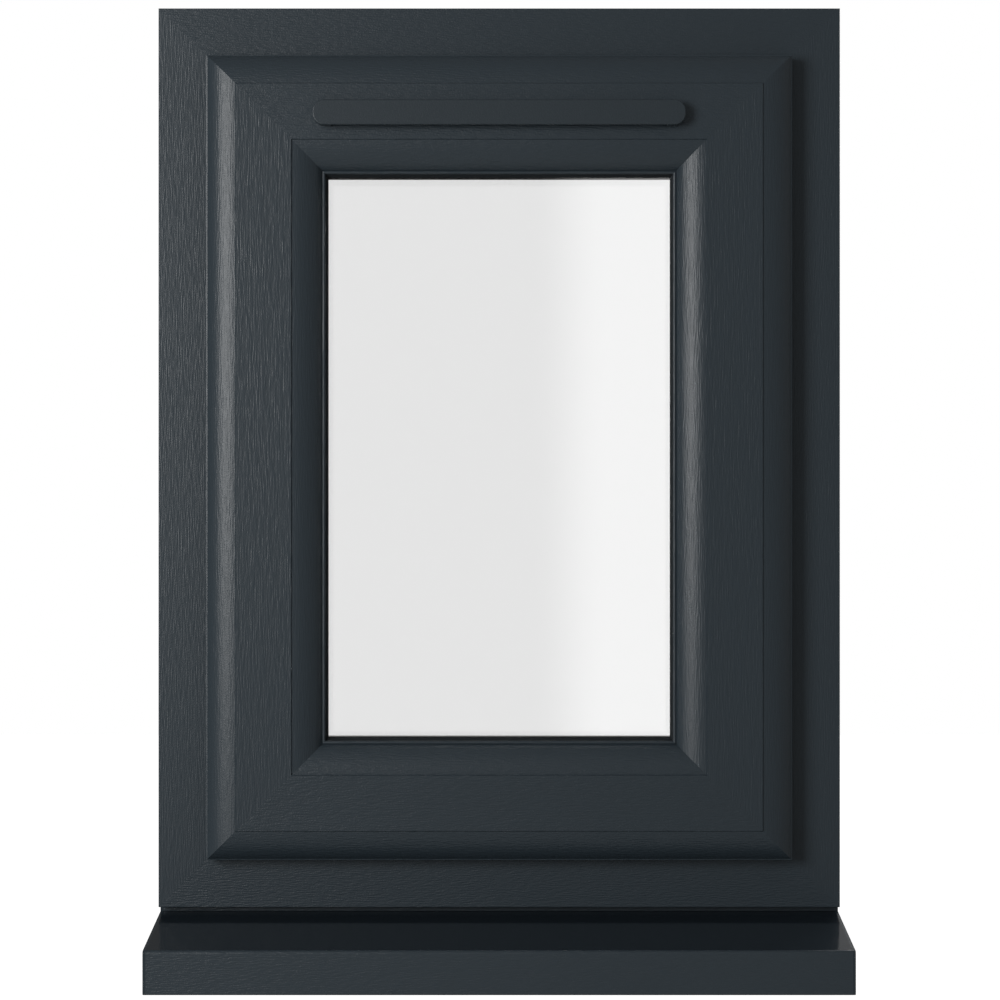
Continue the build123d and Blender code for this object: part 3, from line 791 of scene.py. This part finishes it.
class TOPHUNG_OT_outer_frame(bpy.types.Operator):
    """Make the outer frame's four mitred bars"""
    bl_idname = "top_hung.outer_frame"
    bl_label = "Outer Frame"

    def execute(self, context):
        sizes = context.scene.window_bars
        outline = frame_outline(sizes)
        for side in SIDES:
            work = bar(outline, side, lambda u, y: 1 if u < sizes.arris * WALL_SIDE else 0)
            axis = grain_axis(side)
            node = BAR_NAMES["frame"][side]
            piece = add_piece(node + "_foiled", work, [foiled_pvc(axis), extruded_pvc(axis)],
                              node)
            if side in ("left", "right"):
                cut_away(piece, fixing_cutters(side))
        return {"FINISHED"}


# A drill for a fixing starts a little outside the jamb
DRILL_LENGTH = 50.0 * MM
DRILL_START = 4.0 * MM


def fixing_cutters(side):
    """Drills for the two wall fixings of a jamb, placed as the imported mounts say."""
    cutters = []
    for mount in frame["record"]["mounts"]:
        if mount["name"] != side + "_jamb_fixings":
            continue
        place, dims = mount["pos_m"], mount["dims"]
        way = 1 if side == "left" else -1
        radius = dims["hole_r_mm"] * MM
        for share in (-0.5, 0.5):
            height = place[2] + share * dims["spacing_y_mm"] * MM
            work = bmesh.new()
            bmesh.ops.create_cone(work, cap_ends=True, segments=DRILL_STEPS,
                                  radius1=radius, radius2=radius, depth=DRILL_LENGTH)
            for vert in work.verts:
                x, y, z = vert.co
                inward = z + DRILL_LENGTH / 2 - DRILL_START
                vert.co = Vector((place[0] + way * inward, place[1] + x, height + y))
            cutters.append(helper_object(work))
    return cutters


class TOPHUNG_OT_sash(bpy.types.Operator):
    """Make the sash's four mitred bars, with the vent's slot in the top rail"""
    bl_idname = "top_hung.sash"
    bl_label = "Sash"

    def execute(self, context):
        outline = sash_outline(context.scene.window_bars)
        for side in SIDES:
            axis = grain_axis(side)
            node = BAR_NAMES["sash"][side]
            piece = add_piece(node + "_foiled", bar(outline, side), [foiled_pvc(axis)],
                              node)
            if side == "top":
                fittings = context.scene.window_fittings
                (x, z), _ = centre_of("vent_canopy")
                reach, rise = fittings.slot_length / 2, fittings.slot_height / 2
                cutter = block((x - reach, SASH_FACE - MM, z - rise),
                               (x + reach, SASH_BACK + MM, z + rise))
                cut_away(piece, [helper_object(cutter)])
        return {"FINISHED"}


class TOPHUNG_OT_beads(bpy.types.Operator):
    """Make the four glazing beads on the room side"""
    bl_idname = "top_hung.beads"
    bl_label = "Glazing Beads"

    def execute(self, context):
        outline = bead_outline(context.scene.window_bars)
        for side in SIDES:
            axis = grain_axis(side)
            node = BAR_NAMES["bead"][side]
            add_piece(node + "_foiled", bar(outline, side), [foiled_pvc(axis)], node)
        return {"FINISHED"}


# Float glass, cast flat on molten tin, so both faces are smooth as a mirror. A pane this thin
# looks clear and takes only a little of the light.
def float_glass():
    """Clear float glass."""
    name = "float_glass_clear"
    if name in bpy.data.materials:
        return bpy.data.materials[name]
    material, tree = new_material(name)
    end_material(tree, {
        "Base Color": linear_colour(finish_colours().glass), "Roughness": 0.0, "IOR": 1.52,
        "Transmission Weight": 1.0})
    return material


# How much a speck changes a finish's gloss and tone, and where in the noise it starts and ends
SPECK_GLOSS = 0.06
SPECK_TONE = 0.08
SPECK_CONTRAST = (0.3, 0.7)


def speckled_finish(name, hex_text, roughness, speck, depth):
    """A finish with a fine speckle in its tone, gloss and relief, from a speck's size."""
    if name in bpy.data.materials:
        return bpy.data.materials[name]
    material, tree = new_material(name)
    place = add_node(tree, "ShaderNodeTexCoord").outputs["Object"]
    specks = add_node(tree, "ShaderNodeTexNoise", {
        "Vector": place, "Scale": 1 / speck, "Detail": 3.0})
    rough = add_node(tree, "ShaderNodeMapRange", {
        "Value": specks.outputs["Fac"],
        "To Min": roughness - SPECK_GLOSS, "To Max": roughness + SPECK_GLOSS})
    bump = add_node(tree, "ShaderNodeBump", {
        "Strength": 1.0, "Distance": depth, "Height": specks.outputs["Fac"]})
    tone = add_node(tree, "ShaderNodeMapRange", {
        "Value": specks.outputs["Fac"],
        "From Min": SPECK_CONTRAST[0], "From Max": SPECK_CONTRAST[1],
        "To Min": 1 - SPECK_TONE, "To Max": 1 + SPECK_TONE})
    tint = add_node(tree, "ShaderNodeVectorMath", {
        0: linear_colour(hex_text)[:3], 1: tone.outputs[0]}, operation="MULTIPLY")
    end_material(tree, {
        "Base Color": tint.outputs[0], "Roughness": rough.outputs[0],
        "Normal": bump.outputs[0]})
    return material


# ASA, injection moulded in a spark-eroded tool, which gives the eye an even satin face with
# fine pits. The real pits are about 0.1 mm and are drawn at 0.9 mm, so that they show.
def moulded_asa():
    """Injection-moulded ASA plastic with a fine even texture."""
    return speckled_finish("asa_moulded_satin", finish_colours().moulded_plastic,
                           roughness=0.36, speck=0.9 * MM, depth=0.12 * MM)


# The end caps come from a polished tool instead, so they mirror like the slope that they close.
def polished_asa():
    """Injection-moulded ASA plastic with a glossy face."""
    return speckled_finish("asa_moulded_glossy", finish_colours().moulded_plastic,
                           roughness=0.14, speck=0.9 * MM, depth=0.01 * MM)


# Powder coat on cast zinc: sprayed and baked, so it flows into a faint orange peel.
def powder_coat():
    """Powder-coated zinc casting."""
    return speckled_finish("powder_coated_zinc", finish_colours().coated_metal,
                           roughness=0.38, speck=1.1 * MM, depth=0.03 * MM)


# The spacer is an extruded composite, matt and nearly black, so it hides between the panes.
def spacer_composite():
    """Extruded warm-edge composite."""
    return speckled_finish("warm_edge_composite", finish_colours().spacer,
                           roughness=0.55, speck=0.6 * MM, depth=0.02 * MM)


# Polypropylene, injection moulded and coloured right through, which has a soft waxy sheen.
def moulded_polypropylene():
    """Injection-moulded polypropylene of the packers."""
    return speckled_finish("polypropylene_moulded", finish_colours().packer,
                           roughness=0.5, speck=0.8 * MM, depth=0.02 * MM)


# Rolled, stamped or turned metal: the tool leaves fine parallel scratches, which stretch highlights
# across them. Real scratches are about 0.05 mm apart and are drawn at 0.4 mm, so that they show.
SCRATCH_PITCH = 0.4 * MM
SCRATCH_RUN = 14.0 * MM
SCRATCH_DEPTH = 0.004 * MM
SCRATCH_CONTRAST = (0.1, 0.4)
SCRATCH_GLOSS = (-0.08, 0.12)
SCRATCH_TONE = (0.88, 1.06)


def brushed_metal(name, hex_text, axis, roughness=0.32):
    """Metal with scratches along one axis and cloudy handling marks."""
    if name in bpy.data.materials:
        return bpy.data.materials[name]
    material, tree = new_material(name)
    place = add_node(tree, "ShaderNodeTexCoord").outputs["Object"]
    scratches = grain_noise(tree, place, axis, SCRATCH_PITCH, SCRATCH_RUN, 2.0)
    clouds = add_node(tree, "ShaderNodeTexNoise", {
        "Vector": place, "Scale": 1 / SCRATCH_RUN, "Detail": 3.0})
    marks = add_node(tree, "ShaderNodeMath", {
        0: scratches, 1: clouds.outputs["Fac"]}, operation="MULTIPLY")
    contrast = {"Value": marks.outputs[0],
                "From Min": SCRATCH_CONTRAST[0], "From Max": SCRATCH_CONTRAST[1]}
    rough = add_node(tree, "ShaderNodeMapRange", contrast | {
        "To Min": roughness + SCRATCH_GLOSS[0], "To Max": roughness + SCRATCH_GLOSS[1]})
    tone = add_node(tree, "ShaderNodeMapRange", contrast | {
        "To Min": SCRATCH_TONE[0], "To Max": SCRATCH_TONE[1]})
    tint = add_node(tree, "ShaderNodeVectorMath", {
        0: linear_colour(hex_text)[:3], 1: tone.outputs[0]}, operation="MULTIPLY")
    bump = add_node(tree, "ShaderNodeBump", {
        "Strength": 1.0, "Distance": SCRATCH_DEPTH, "Height": scratches})
    end_material(tree, {
        "Base Color": tint.outputs[0], "Metallic": 1.0, "Roughness": rough.outputs[0],
        "Normal": bump.outputs[0]})
    return material


def dress(node, material):
    """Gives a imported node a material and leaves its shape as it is."""
    for slot in frame["nodes"][node].material_slots:
        slot.material = material


SPACER_SHOULDER = 2.0 * MM
SPACER_CORNER = 0.6 * MM


class TOPHUNG_OT_glass_unit(bpy.types.Operator):
    """Make the two panes with ground edges and the spacer between them"""
    bl_idname = "top_hung.glass_unit"
    bl_label = "Glass Unit"

    def execute(self, context):
        fittings = context.scene.window_fittings
        for node in ("glass_outer_pane", "glass_inner_pane"):
            centre, ((x_low, x_high), (front, back), (z_low, z_high)) = centre_of(node)
            half_x, half_z, arris = (x_high - x_low) / 2, (z_high - z_low) / 2, fittings.pane_arris
            loops = []
            for inset, depth in ((arris, front), (0, front + arris),
                                 (0, back - arris), (arris, back)):
                x, z = half_x - inset, half_z - inset
                loops.append([(centre[0] + i * x, depth, centre[1] + k * z)
                              for i, k in ((-1, -1), (1, -1), (1, 1), (-1, 1))])
            add_piece(node + "_float", stack(loops), [float_glass()], node)
        u_low, u_high = span("glass_spacer_bar", "X")[0] - FRAME_LEFT, SPACER_SIGHT
        u_shoulder = u_low + SPACER_SHOULDER
        front, back = GLASS_FRONT[1] + fittings.contact_gap, GLASS_REAR[0] - fittings.contact_gap
        outline = rounded_outline([
            (u_low, front + SPACER_SHOULDER, 0), (u_shoulder, front, 0),
            (u_high, front, SPACER_CORNER), (u_high, back, SPACER_CORNER),
            (u_shoulder, back, 0), (u_low, back - SPACER_SHOULDER, 0)])
        add_piece("warm_edge_spacer", ring(outline), [spacer_composite()],
                  "glass_spacer_bar")
        return {"FINISHED"}


# How far the inner gasket spreads on the glass, and a bulb's radius as a share of its height
GASKET_SPREAD = 0.3 * MM
BULB_SHARE = 0.48


class TOPHUNG_OT_gaskets(bpy.types.Operator):
    """Make the glazing gaskets with rounded heels and the weatherseals with round bulbs"""
    bl_idname = "top_hung.gaskets"
    bl_label = "Gaskets"

    def execute(self, context):
        fittings = context.scene.window_fittings
        lean, sight = fittings.gasket_lean, SIGHT_EDGE + fittings.gasket_sight
        outside = GLASS_FRONT[0] - fittings.contact_gap
        inside = GLASS_REAR[1] + fittings.contact_gap
        sections = {
            "outer_glazing_gasket": [
                (GASKET_LOW, LIP_BACK, 0), (sight - lean, LIP_BACK, 0),
                (sight - lean / 2, LIP_BACK + lean / 2, lean),
                (sight, outside, 0), (GASKET_LOW, outside, 0)],
            "inner_glazing_gasket": [
                (GASKET_LOW, inside, 0), (SIGHT_EDGE + GASKET_SPREAD, inside, 0),
                (SIGHT_EDGE - lean / 2, BEAD_FRONT, 0), (GASKET_LOW, BEAD_FRONT, 0)],
        }
        for node, at_back in (("sash_weatherseal", False), ("frame_weatherseal", True)):
            low, high = span(node, "Y")
            foot, crown = (high, low) if at_back else (low, high)
            u_low = span(node, "X")[0] - FRAME_LEFT
            u_high = u_low + (high - low)
            bulb = (high - low) * BULB_SHARE
            sections[node] = [(u_low, foot, 0), (u_high, foot, 0),
                              (u_high, crown, bulb), (u_low, crown, bulb)]
        for node, corners in sections.items():
            add_piece(node + "_extruded", ring(rounded_outline(corners, SEAL_STEPS)),
                      [epdm_rubber()], node)
        return {"FINISHED"}


FLAP_CORNER = 1.2 * MM

# The grip's corner and its rounded edge, as shares of its height
GRIP_CORNER = 0.49
GRIP_ROUND = 0.4


class TOPHUNG_OT_vent(bpy.types.Operator):
    """Make the trickle vent: hollow canopy outside, body and flap inside"""
    bl_idname = "top_hung.vent"
    bl_label = "Trickle Vent"

    def execute(self, context):
        fittings = context.scene.window_fittings
        plastic = moulded_asa()
        centre, ((x_low, x_high), (front, foot), (z_low, z_high)) = centre_of("vent_canopy")
        canopy_length = x_high - x_low + 2 * fittings.canopy_reach
        shape = rounded_rectangle(canopy_length, z_high - z_low, fittings.vent_corner)
        plate = raised_plate(shape, centre, foot, front, fittings.canopy_round)
        canopy = add_piece("vent_canopy_moulded", plate, [plastic], "vent_canopy")
        hollow = block((x_low + fittings.canopy_end, front + fittings.canopy_wall, z_low - MM),
                       (x_high - fittings.canopy_end, foot + MM, z_high - fittings.canopy_wall))
        cut_away(canopy, [helper_object(hollow)])

        _, ((x_low, x_high), (foot, back), (z_low, z_high)) = centre_of("vent_inner_body")
        shape = rounded_rectangle(x_high - x_low, z_high - z_low, fittings.vent_corner)
        plate = raised_plate(shape, centre, foot, back, fittings.canopy_round)
        body = add_piece("vent_inner_body_moulded", plate, [plastic],
                         "vent_inner_body")
        _, spans = centre_of("vent_inner_flap")
        (flap_left, flap_right), (flap_foot, flap_back), (flap_low, flap_high) = spans
        window = block((flap_left, foot - MM, flap_low), (flap_right, back + MM, flap_high))
        cut_away(body, [helper_object(window)])

        gap = 2 * fittings.flap_gap
        shape = rounded_rectangle(flap_right - flap_left - gap, flap_high - flap_low - gap,
                                  FLAP_CORNER)
        plate = raised_plate(shape, centre, flap_foot, flap_back, fittings.flap_round)
        flap = add_piece("vent_flap_moulded", plate, [plastic], "vent_inner_flap")
        height = fittings.grip_height
        shape = rounded_rectangle(fittings.grip_length, height, height * GRIP_CORNER)
        grip = raised_plate(shape, centre, flap_back - MM, flap_back + fittings.grip_proud,
                            height * GRIP_ROUND)
        cut_away(flap, [helper_object(grip)], "UNION")
        return {"FINISHED"}


class TOPHUNG_OT_sill(bpy.types.Operator):
    """Make the sill with its smooth slope and grained nose, and its end caps"""
    bl_idname = "top_hung.sill"
    bl_label = "Sill"

    def execute(self, context):
        sizes = context.scene.window_sill
        (left, right), (front, back), (low, high) = (span("window_sill", axis) for axis in "XYZ")
        edge = sizes.edge_round
        outline = rounded_outline([
            (back, 0, edge), (back, high, edge),
            (sizes.upstand, high, edge), (sizes.upstand, sizes.slope_top, edge),
            (front, sizes.slope_foot, sizes.nose_round), (front, low, sizes.drip_round),
            (sizes.nose_back, low, sizes.drip_round), (sizes.nose_back, sizes.lift, edge),
            (sizes.bed, sizes.lift, edge), (sizes.bed, 0, edge)], SILL_STEPS)
        slope_front = front + sizes.nose_round

        def zone(y, z):
            return 1 if slope_front < y < sizes.upstand and z > sizes.slope_foot else 0

        finishes = [foiled_pvc("X"), shaded_slope_foil()]
        add_piece("sill_foiled", prism(outline, left, right, zone), finishes,
                  "window_sill")
        for side, inner, way in (("left", left, -1), ("right", right, 1)):
            node = "sill_end_cap_" + side
            outer = span(node, "X")[0 if side == "left" else 1]
            chamfer = sizes.cap_chamfer
            loops = [[(x, y, z) for y, z in drawn_in(outline, inset)]
                     for inset, x in ((0, inner), (0, outer - way * chamfer), (chamfer, outer))]
            add_piece(node + "_moulded", stack(loops), [polished_asa()], node)
        return {"FINISHED"}


ARM_THICK = 9.0 * MM
NECK_MARGIN = 1.0 * MM
NECK_ROUND = 0.2 * MM
KEY_DEPTH = 1.4 * MM

# The key slot's reach as a share of the button's radius, and the base's corner as a share of
# its height, just under the half that makes its ends round
KEY_REACH = 0.55
BASE_CORNER = 0.499


class TOPHUNG_OT_handle(bpy.types.Operator):
    """Make the handle: rounded base, neck and tapered arm, lock button with its key slot"""
    bl_idname = "top_hung.handle"
    bl_label = "Handle"

    def execute(self, context):
        fittings = context.scene.window_fittings
        coated = powder_coat()
        centre, ((x_low, x_high), (foot, top), (z_low, z_high)) = centre_of("handle_base")
        width = z_high - z_low
        shape = rounded_rectangle(x_high - x_low, width, width * BASE_CORNER)
        add_piece("handle_base_cast", raised_plate(shape, centre, foot, top, fittings.base_round),
                  [coated], "handle_base")

        _, spans = centre_of("handle_lever")
        (arm_left, arm_right), (neck_foot, arm_top), (arm_low, arm_high) = spans
        root = (arm_high - arm_low) / 2
        reach = arm_right - fittings.arm_tip - (arm_left + root)
        arm_foot = arm_top - ARM_THICK
        middle = (arm_left + root, (arm_low + arm_high) / 2)
        arm = raised_plate(tapered_arm(root, fittings.arm_tip, reach), middle, arm_foot, arm_top,
                           fittings.arm_round, fittings.arm_foot, ARM_STEPS)
        lever = add_piece("handle_lever_cast", arm, [coated], "handle_lever")
        neck_top = arm_foot + fittings.arm_foot + NECK_MARGIN
        neck = raised_plate(disc(root - NECK_MARGIN), middle, neck_foot, neck_top, NECK_ROUND)
        cut_away(lever, [helper_object(neck)], "UNION")

        centre, ((x_low, x_high), (foot, top), _) = centre_of("handle_lock_button")
        radius = (x_high - x_low) / 2
        plate = raised_plate(disc(radius), centre, foot, top, fittings.button_round)
        nickel = brushed_metal("satin_nickel_turned", finish_colours().steel, "X")
        button = add_piece("lock_button_turned", plate, [nickel],
                           "handle_lock_button")
        slot, reach = fittings.key_slot / 2, radius * KEY_REACH
        cutter = block((centre[0] - reach, top - KEY_DEPTH, centre[1] - slot),
                       (centre[0] + reach, top + MM, centre[1] + slot))
        cut_away(button, [helper_object(cutter)])
        return {"FINISHED"}


class TOPHUNG_OT_hardware(bpy.types.Operator):
    """Finish the stays, the lock bar, its keeps and the glazing packers"""
    bl_idname = "top_hung.hardware"
    bl_label = "Hardware"

    def execute(self, context):
        colours = finish_colours()
        for node in ("friction_stay_left", "friction_stay_right"):
            dress(node, brushed_metal("stainless_steel_stamped", colours.steel, "Z"))
        for node in ("lock_bar", "lock_keeps"):
            dress(node, brushed_metal("zinc_plated_steel", colours.zinc, "X", roughness=0.38))
        dress("glazing_packers", moulded_polypropylene())
        return {"FINISHED"}


# Directions round the window are unit vectors, with Y straight away from the camera. Each pair
# says where one part of the surroundings fades into the next.
BEHIND_AND_DOWN = (0.2, 1.0, -0.5)
ROOM_FADE = (0.1, -0.95)
ROOM_SIDES = (-0.13, 0.13)
BACKDROP_EDGE = (0.965, 0.985)
CARD_EDGE = (0.012, 0.042)
CARD_FRONT = -0.85


def studio_world(settings):
    """White for the eye and through glass. For all else a dim room, a white backdrop and a card."""
    world = bpy.data.worlds.new("studio")
    bpy.context.scene.world = world
    world.use_nodes = True
    tree = world.node_tree
    tree.nodes.clear()
    way = add_node(tree, "ShaderNodeTexCoord").outputs["Generated"]
    parts = add_node(tree, "ShaderNodeSeparateXYZ", {0: way})
    facing = add_node(tree, "ShaderNodeVectorMath", {
        0: way, 1: BEHIND_AND_DOWN}, operation="DOT_PRODUCT")
    behind = add_node(tree, "ShaderNodeMapRange", {
        "Value": parts.outputs["X"], "From Min": ROOM_SIDES[0], "From Max": ROOM_SIDES[1],
        "To Min": settings.room_left, "To Max": settings.room_right})
    room = add_node(tree, "ShaderNodeMapRange", {
        "Value": facing.outputs["Value"], "From Min": ROOM_FADE[0], "From Max": ROOM_FADE[1],
        "To Min": behind.outputs[0], "To Max": settings.room_glow})
    backdrop = add_node(tree, "ShaderNodeMapRange", {
        "Value": parts.outputs["Y"], "From Min": BACKDROP_EDGE[0],
        "From Max": BACKDROP_EDGE[1]}, interpolation_type="SMOOTHSTEP")
    card_side = add_node(tree, "ShaderNodeMapRange", {
        "Value": parts.outputs["X"], "From Min": CARD_EDGE[0],
        "From Max": CARD_EDGE[1]}, interpolation_type="SMOOTHSTEP")
    card_front = add_node(tree, "ShaderNodeMath", {
        0: parts.outputs["Y"], 1: CARD_FRONT}, operation="LESS_THAN")
    card = add_node(tree, "ShaderNodeMath", {
        0: card_side.outputs[0], 1: card_front.outputs[0]}, operation="MULTIPLY")
    path = add_node(tree, "ShaderNodeLightPath")
    seen = add_node(tree, "ShaderNodeMath", {
        0: path.outputs["Is Camera Ray"], 1: path.outputs["Is Transmission Ray"]},
        operation="MAXIMUM")
    mirrored = add_node(tree, "ShaderNodeMath", {
        0: card.outputs[0], 1: path.outputs["Is Singular Ray"]}, operation="MULTIPLY")
    around = add_node(tree, "ShaderNodeMath", {
        0: room.outputs[0], 1: backdrop.outputs[0]}, operation="MAXIMUM")
    glow = add_node(tree, "ShaderNodeMath", {
        0: mirrored.outputs[0], 1: settings.card_glow, 2: around.outputs[0]},
        operation="MULTIPLY_ADD")
    lit = add_node(tree, "ShaderNodeBackground", {
        "Color": (1, 1, 1, 1), "Strength": glow.outputs[0]})
    white = add_node(tree, "ShaderNodeBackground", {"Color": (1, 1, 1, 1), "Strength": 1.0})
    mix = add_node(tree, "ShaderNodeMixShader", {
        0: seen.outputs[0], 1: lit.outputs[0], 2: white.outputs[0]})
    add_node(tree, "ShaderNodeOutputWorld", {"Surface": mix.outputs[0]})


def softbox(name, place, target, wide, tall, power):
    """A rectangular soft lamp that faces a point."""
    light = bpy.data.lights.new(name, "AREA")
    light.shape = "RECTANGLE"
    light.size = wide
    light.size_y = tall
    light.energy = power
    lamp = bpy.data.objects.new(name, light)
    lamp.location = place
    away = Vector(target) - Vector(place)
    lamp.rotation_euler = away.to_track_quat("-Z", "Y").to_euler()
    bpy.context.scene.collection.objects.link(lamp)


FLOOR_GRID = 8
FLOOR_REACH = 12.0
FLOOR_COLOUR = "#E6E6E4"
FLOOR_ROUGHNESS = 0.8
FLOOR_GLOW = 0.93


def studio_floor(settings):
    """A painted floor far below the hung window, that glows for the eye so that it looks white."""
    work = bmesh.new()
    bmesh.ops.create_grid(work, x_segments=FLOOR_GRID, y_segments=FLOOR_GRID, size=FLOOR_REACH)
    mesh = bpy.data.meshes.new("studio_floor")
    work.to_mesh(mesh)
    work.free()
    floor = bpy.data.objects.new("studio_floor", mesh)
    floor.location.z = settings.floor_height
    bpy.context.scene.collection.objects.link(floor)
    material, tree = new_material("painted_plaster_floor")
    path = add_node(tree, "ShaderNodeLightPath")
    white = add_node(tree, "ShaderNodeMath", {
        0: path.outputs["Is Camera Ray"], 1: FLOOR_GLOW}, operation="MULTIPLY")
    end_material(tree, {
        "Base Color": linear_colour(FLOOR_COLOUR), "Roughness": FLOOR_ROUGHNESS,
        "Emission Color": (1, 1, 1, 1), "Emission Strength": white.outputs[0]})
    mesh.materials.append(material)


SENSOR_WIDTH = 36.0
BACK_LAMP_PLACE = (1.3, 2.4, 1.4)
BACK_LAMP_AIM = (0, 0, 0.3)
BACK_LAMP_SIZE = 1.2


class TOPHUNG_OT_studio(bpy.types.Operator):
    """Set the camera, the lamps, the floor and the surroundings"""
    bl_idname = "top_hung.studio"
    bl_label = "Studio"

    def execute(self, context):
        settings = context.scene.window_studio
        scene = context.scene
        scene.view_settings.view_transform = "Standard"
        camera_data = bpy.data.cameras.new("camera")
        camera_data.lens = settings.lens
        camera_data.sensor_width = SENSOR_WIDTH
        camera = bpy.data.objects.new("camera", camera_data)
        camera.location = (settings.camera_side, -settings.camera_distance, settings.camera_height)
        camera.rotation_euler = (math.pi / 2, 0, 0)
        scene.collection.objects.link(camera)
        scene.camera = camera
        studio_world(settings)
        place = (-settings.softbox_side, -settings.softbox_front, settings.softbox_height)
        softbox("main_softbox", place, (0, 0, settings.softbox_height), settings.softbox_wide,
                settings.softbox_tall, settings.softbox_power)
        softbox("back_softbox", BACK_LAMP_PLACE, BACK_LAMP_AIM, BACK_LAMP_SIZE, BACK_LAMP_SIZE,
                settings.back_lamp_power)
        studio_floor(settings)
        return {"FINISHED"}


OPERATORS = (
    TOPHUNG_OT_outer_frame,
    TOPHUNG_OT_sash,
    TOPHUNG_OT_beads,
    TOPHUNG_OT_glass_unit,
    TOPHUNG_OT_gaskets,
    TOPHUNG_OT_vent,
    TOPHUNG_OT_sill,
    TOPHUNG_OT_handle,
    TOPHUNG_OT_hardware,
    TOPHUNG_OT_studio,
)


class TOPHUNG_PT_panel(bpy.types.Panel):
    """Lists the window's pieces"""
    bl_idname = "TOPHUNG_PT_panel"
    bl_label = "Top-hung Window"
    bl_space_type = "VIEW_3D"
    bl_region_type = "UI"
    bl_category = "Window"

    def draw(self, context):
        for operator in OPERATORS:
            self.layout.operator(operator.bl_idname)


GROUPS = {"window_bars": BarSizes, "window_sill": SillSizes, "window_fittings": FittingSizes,
          "window_colours": FinishColours, "window_studio": StudioSettings}


def register():
    for group in GROUPS.values():
        bpy.utils.register_class(group)
    for name, group in GROUPS.items():
        setattr(bpy.types.Scene, name, PointerProperty(type=group))
    for operator in OPERATORS:
        bpy.utils.register_class(operator)
    bpy.utils.register_class(TOPHUNG_PT_panel)


def unregister():
    bpy.utils.unregister_class(TOPHUNG_PT_panel)
    for operator in reversed(OPERATORS):
        bpy.utils.unregister_class(operator)
    for name, group in reversed(GROUPS.items()):
        delattr(bpy.types.Scene, name)
        bpy.utils.unregister_class(group)


def main():
    """Makes every piece."""
    register()
    for operator in OPERATORS:
        family, action = operator.bl_idname.split(".")
        getattr(getattr(bpy.ops, family), action)()


if __name__ == "__main__":
    main()
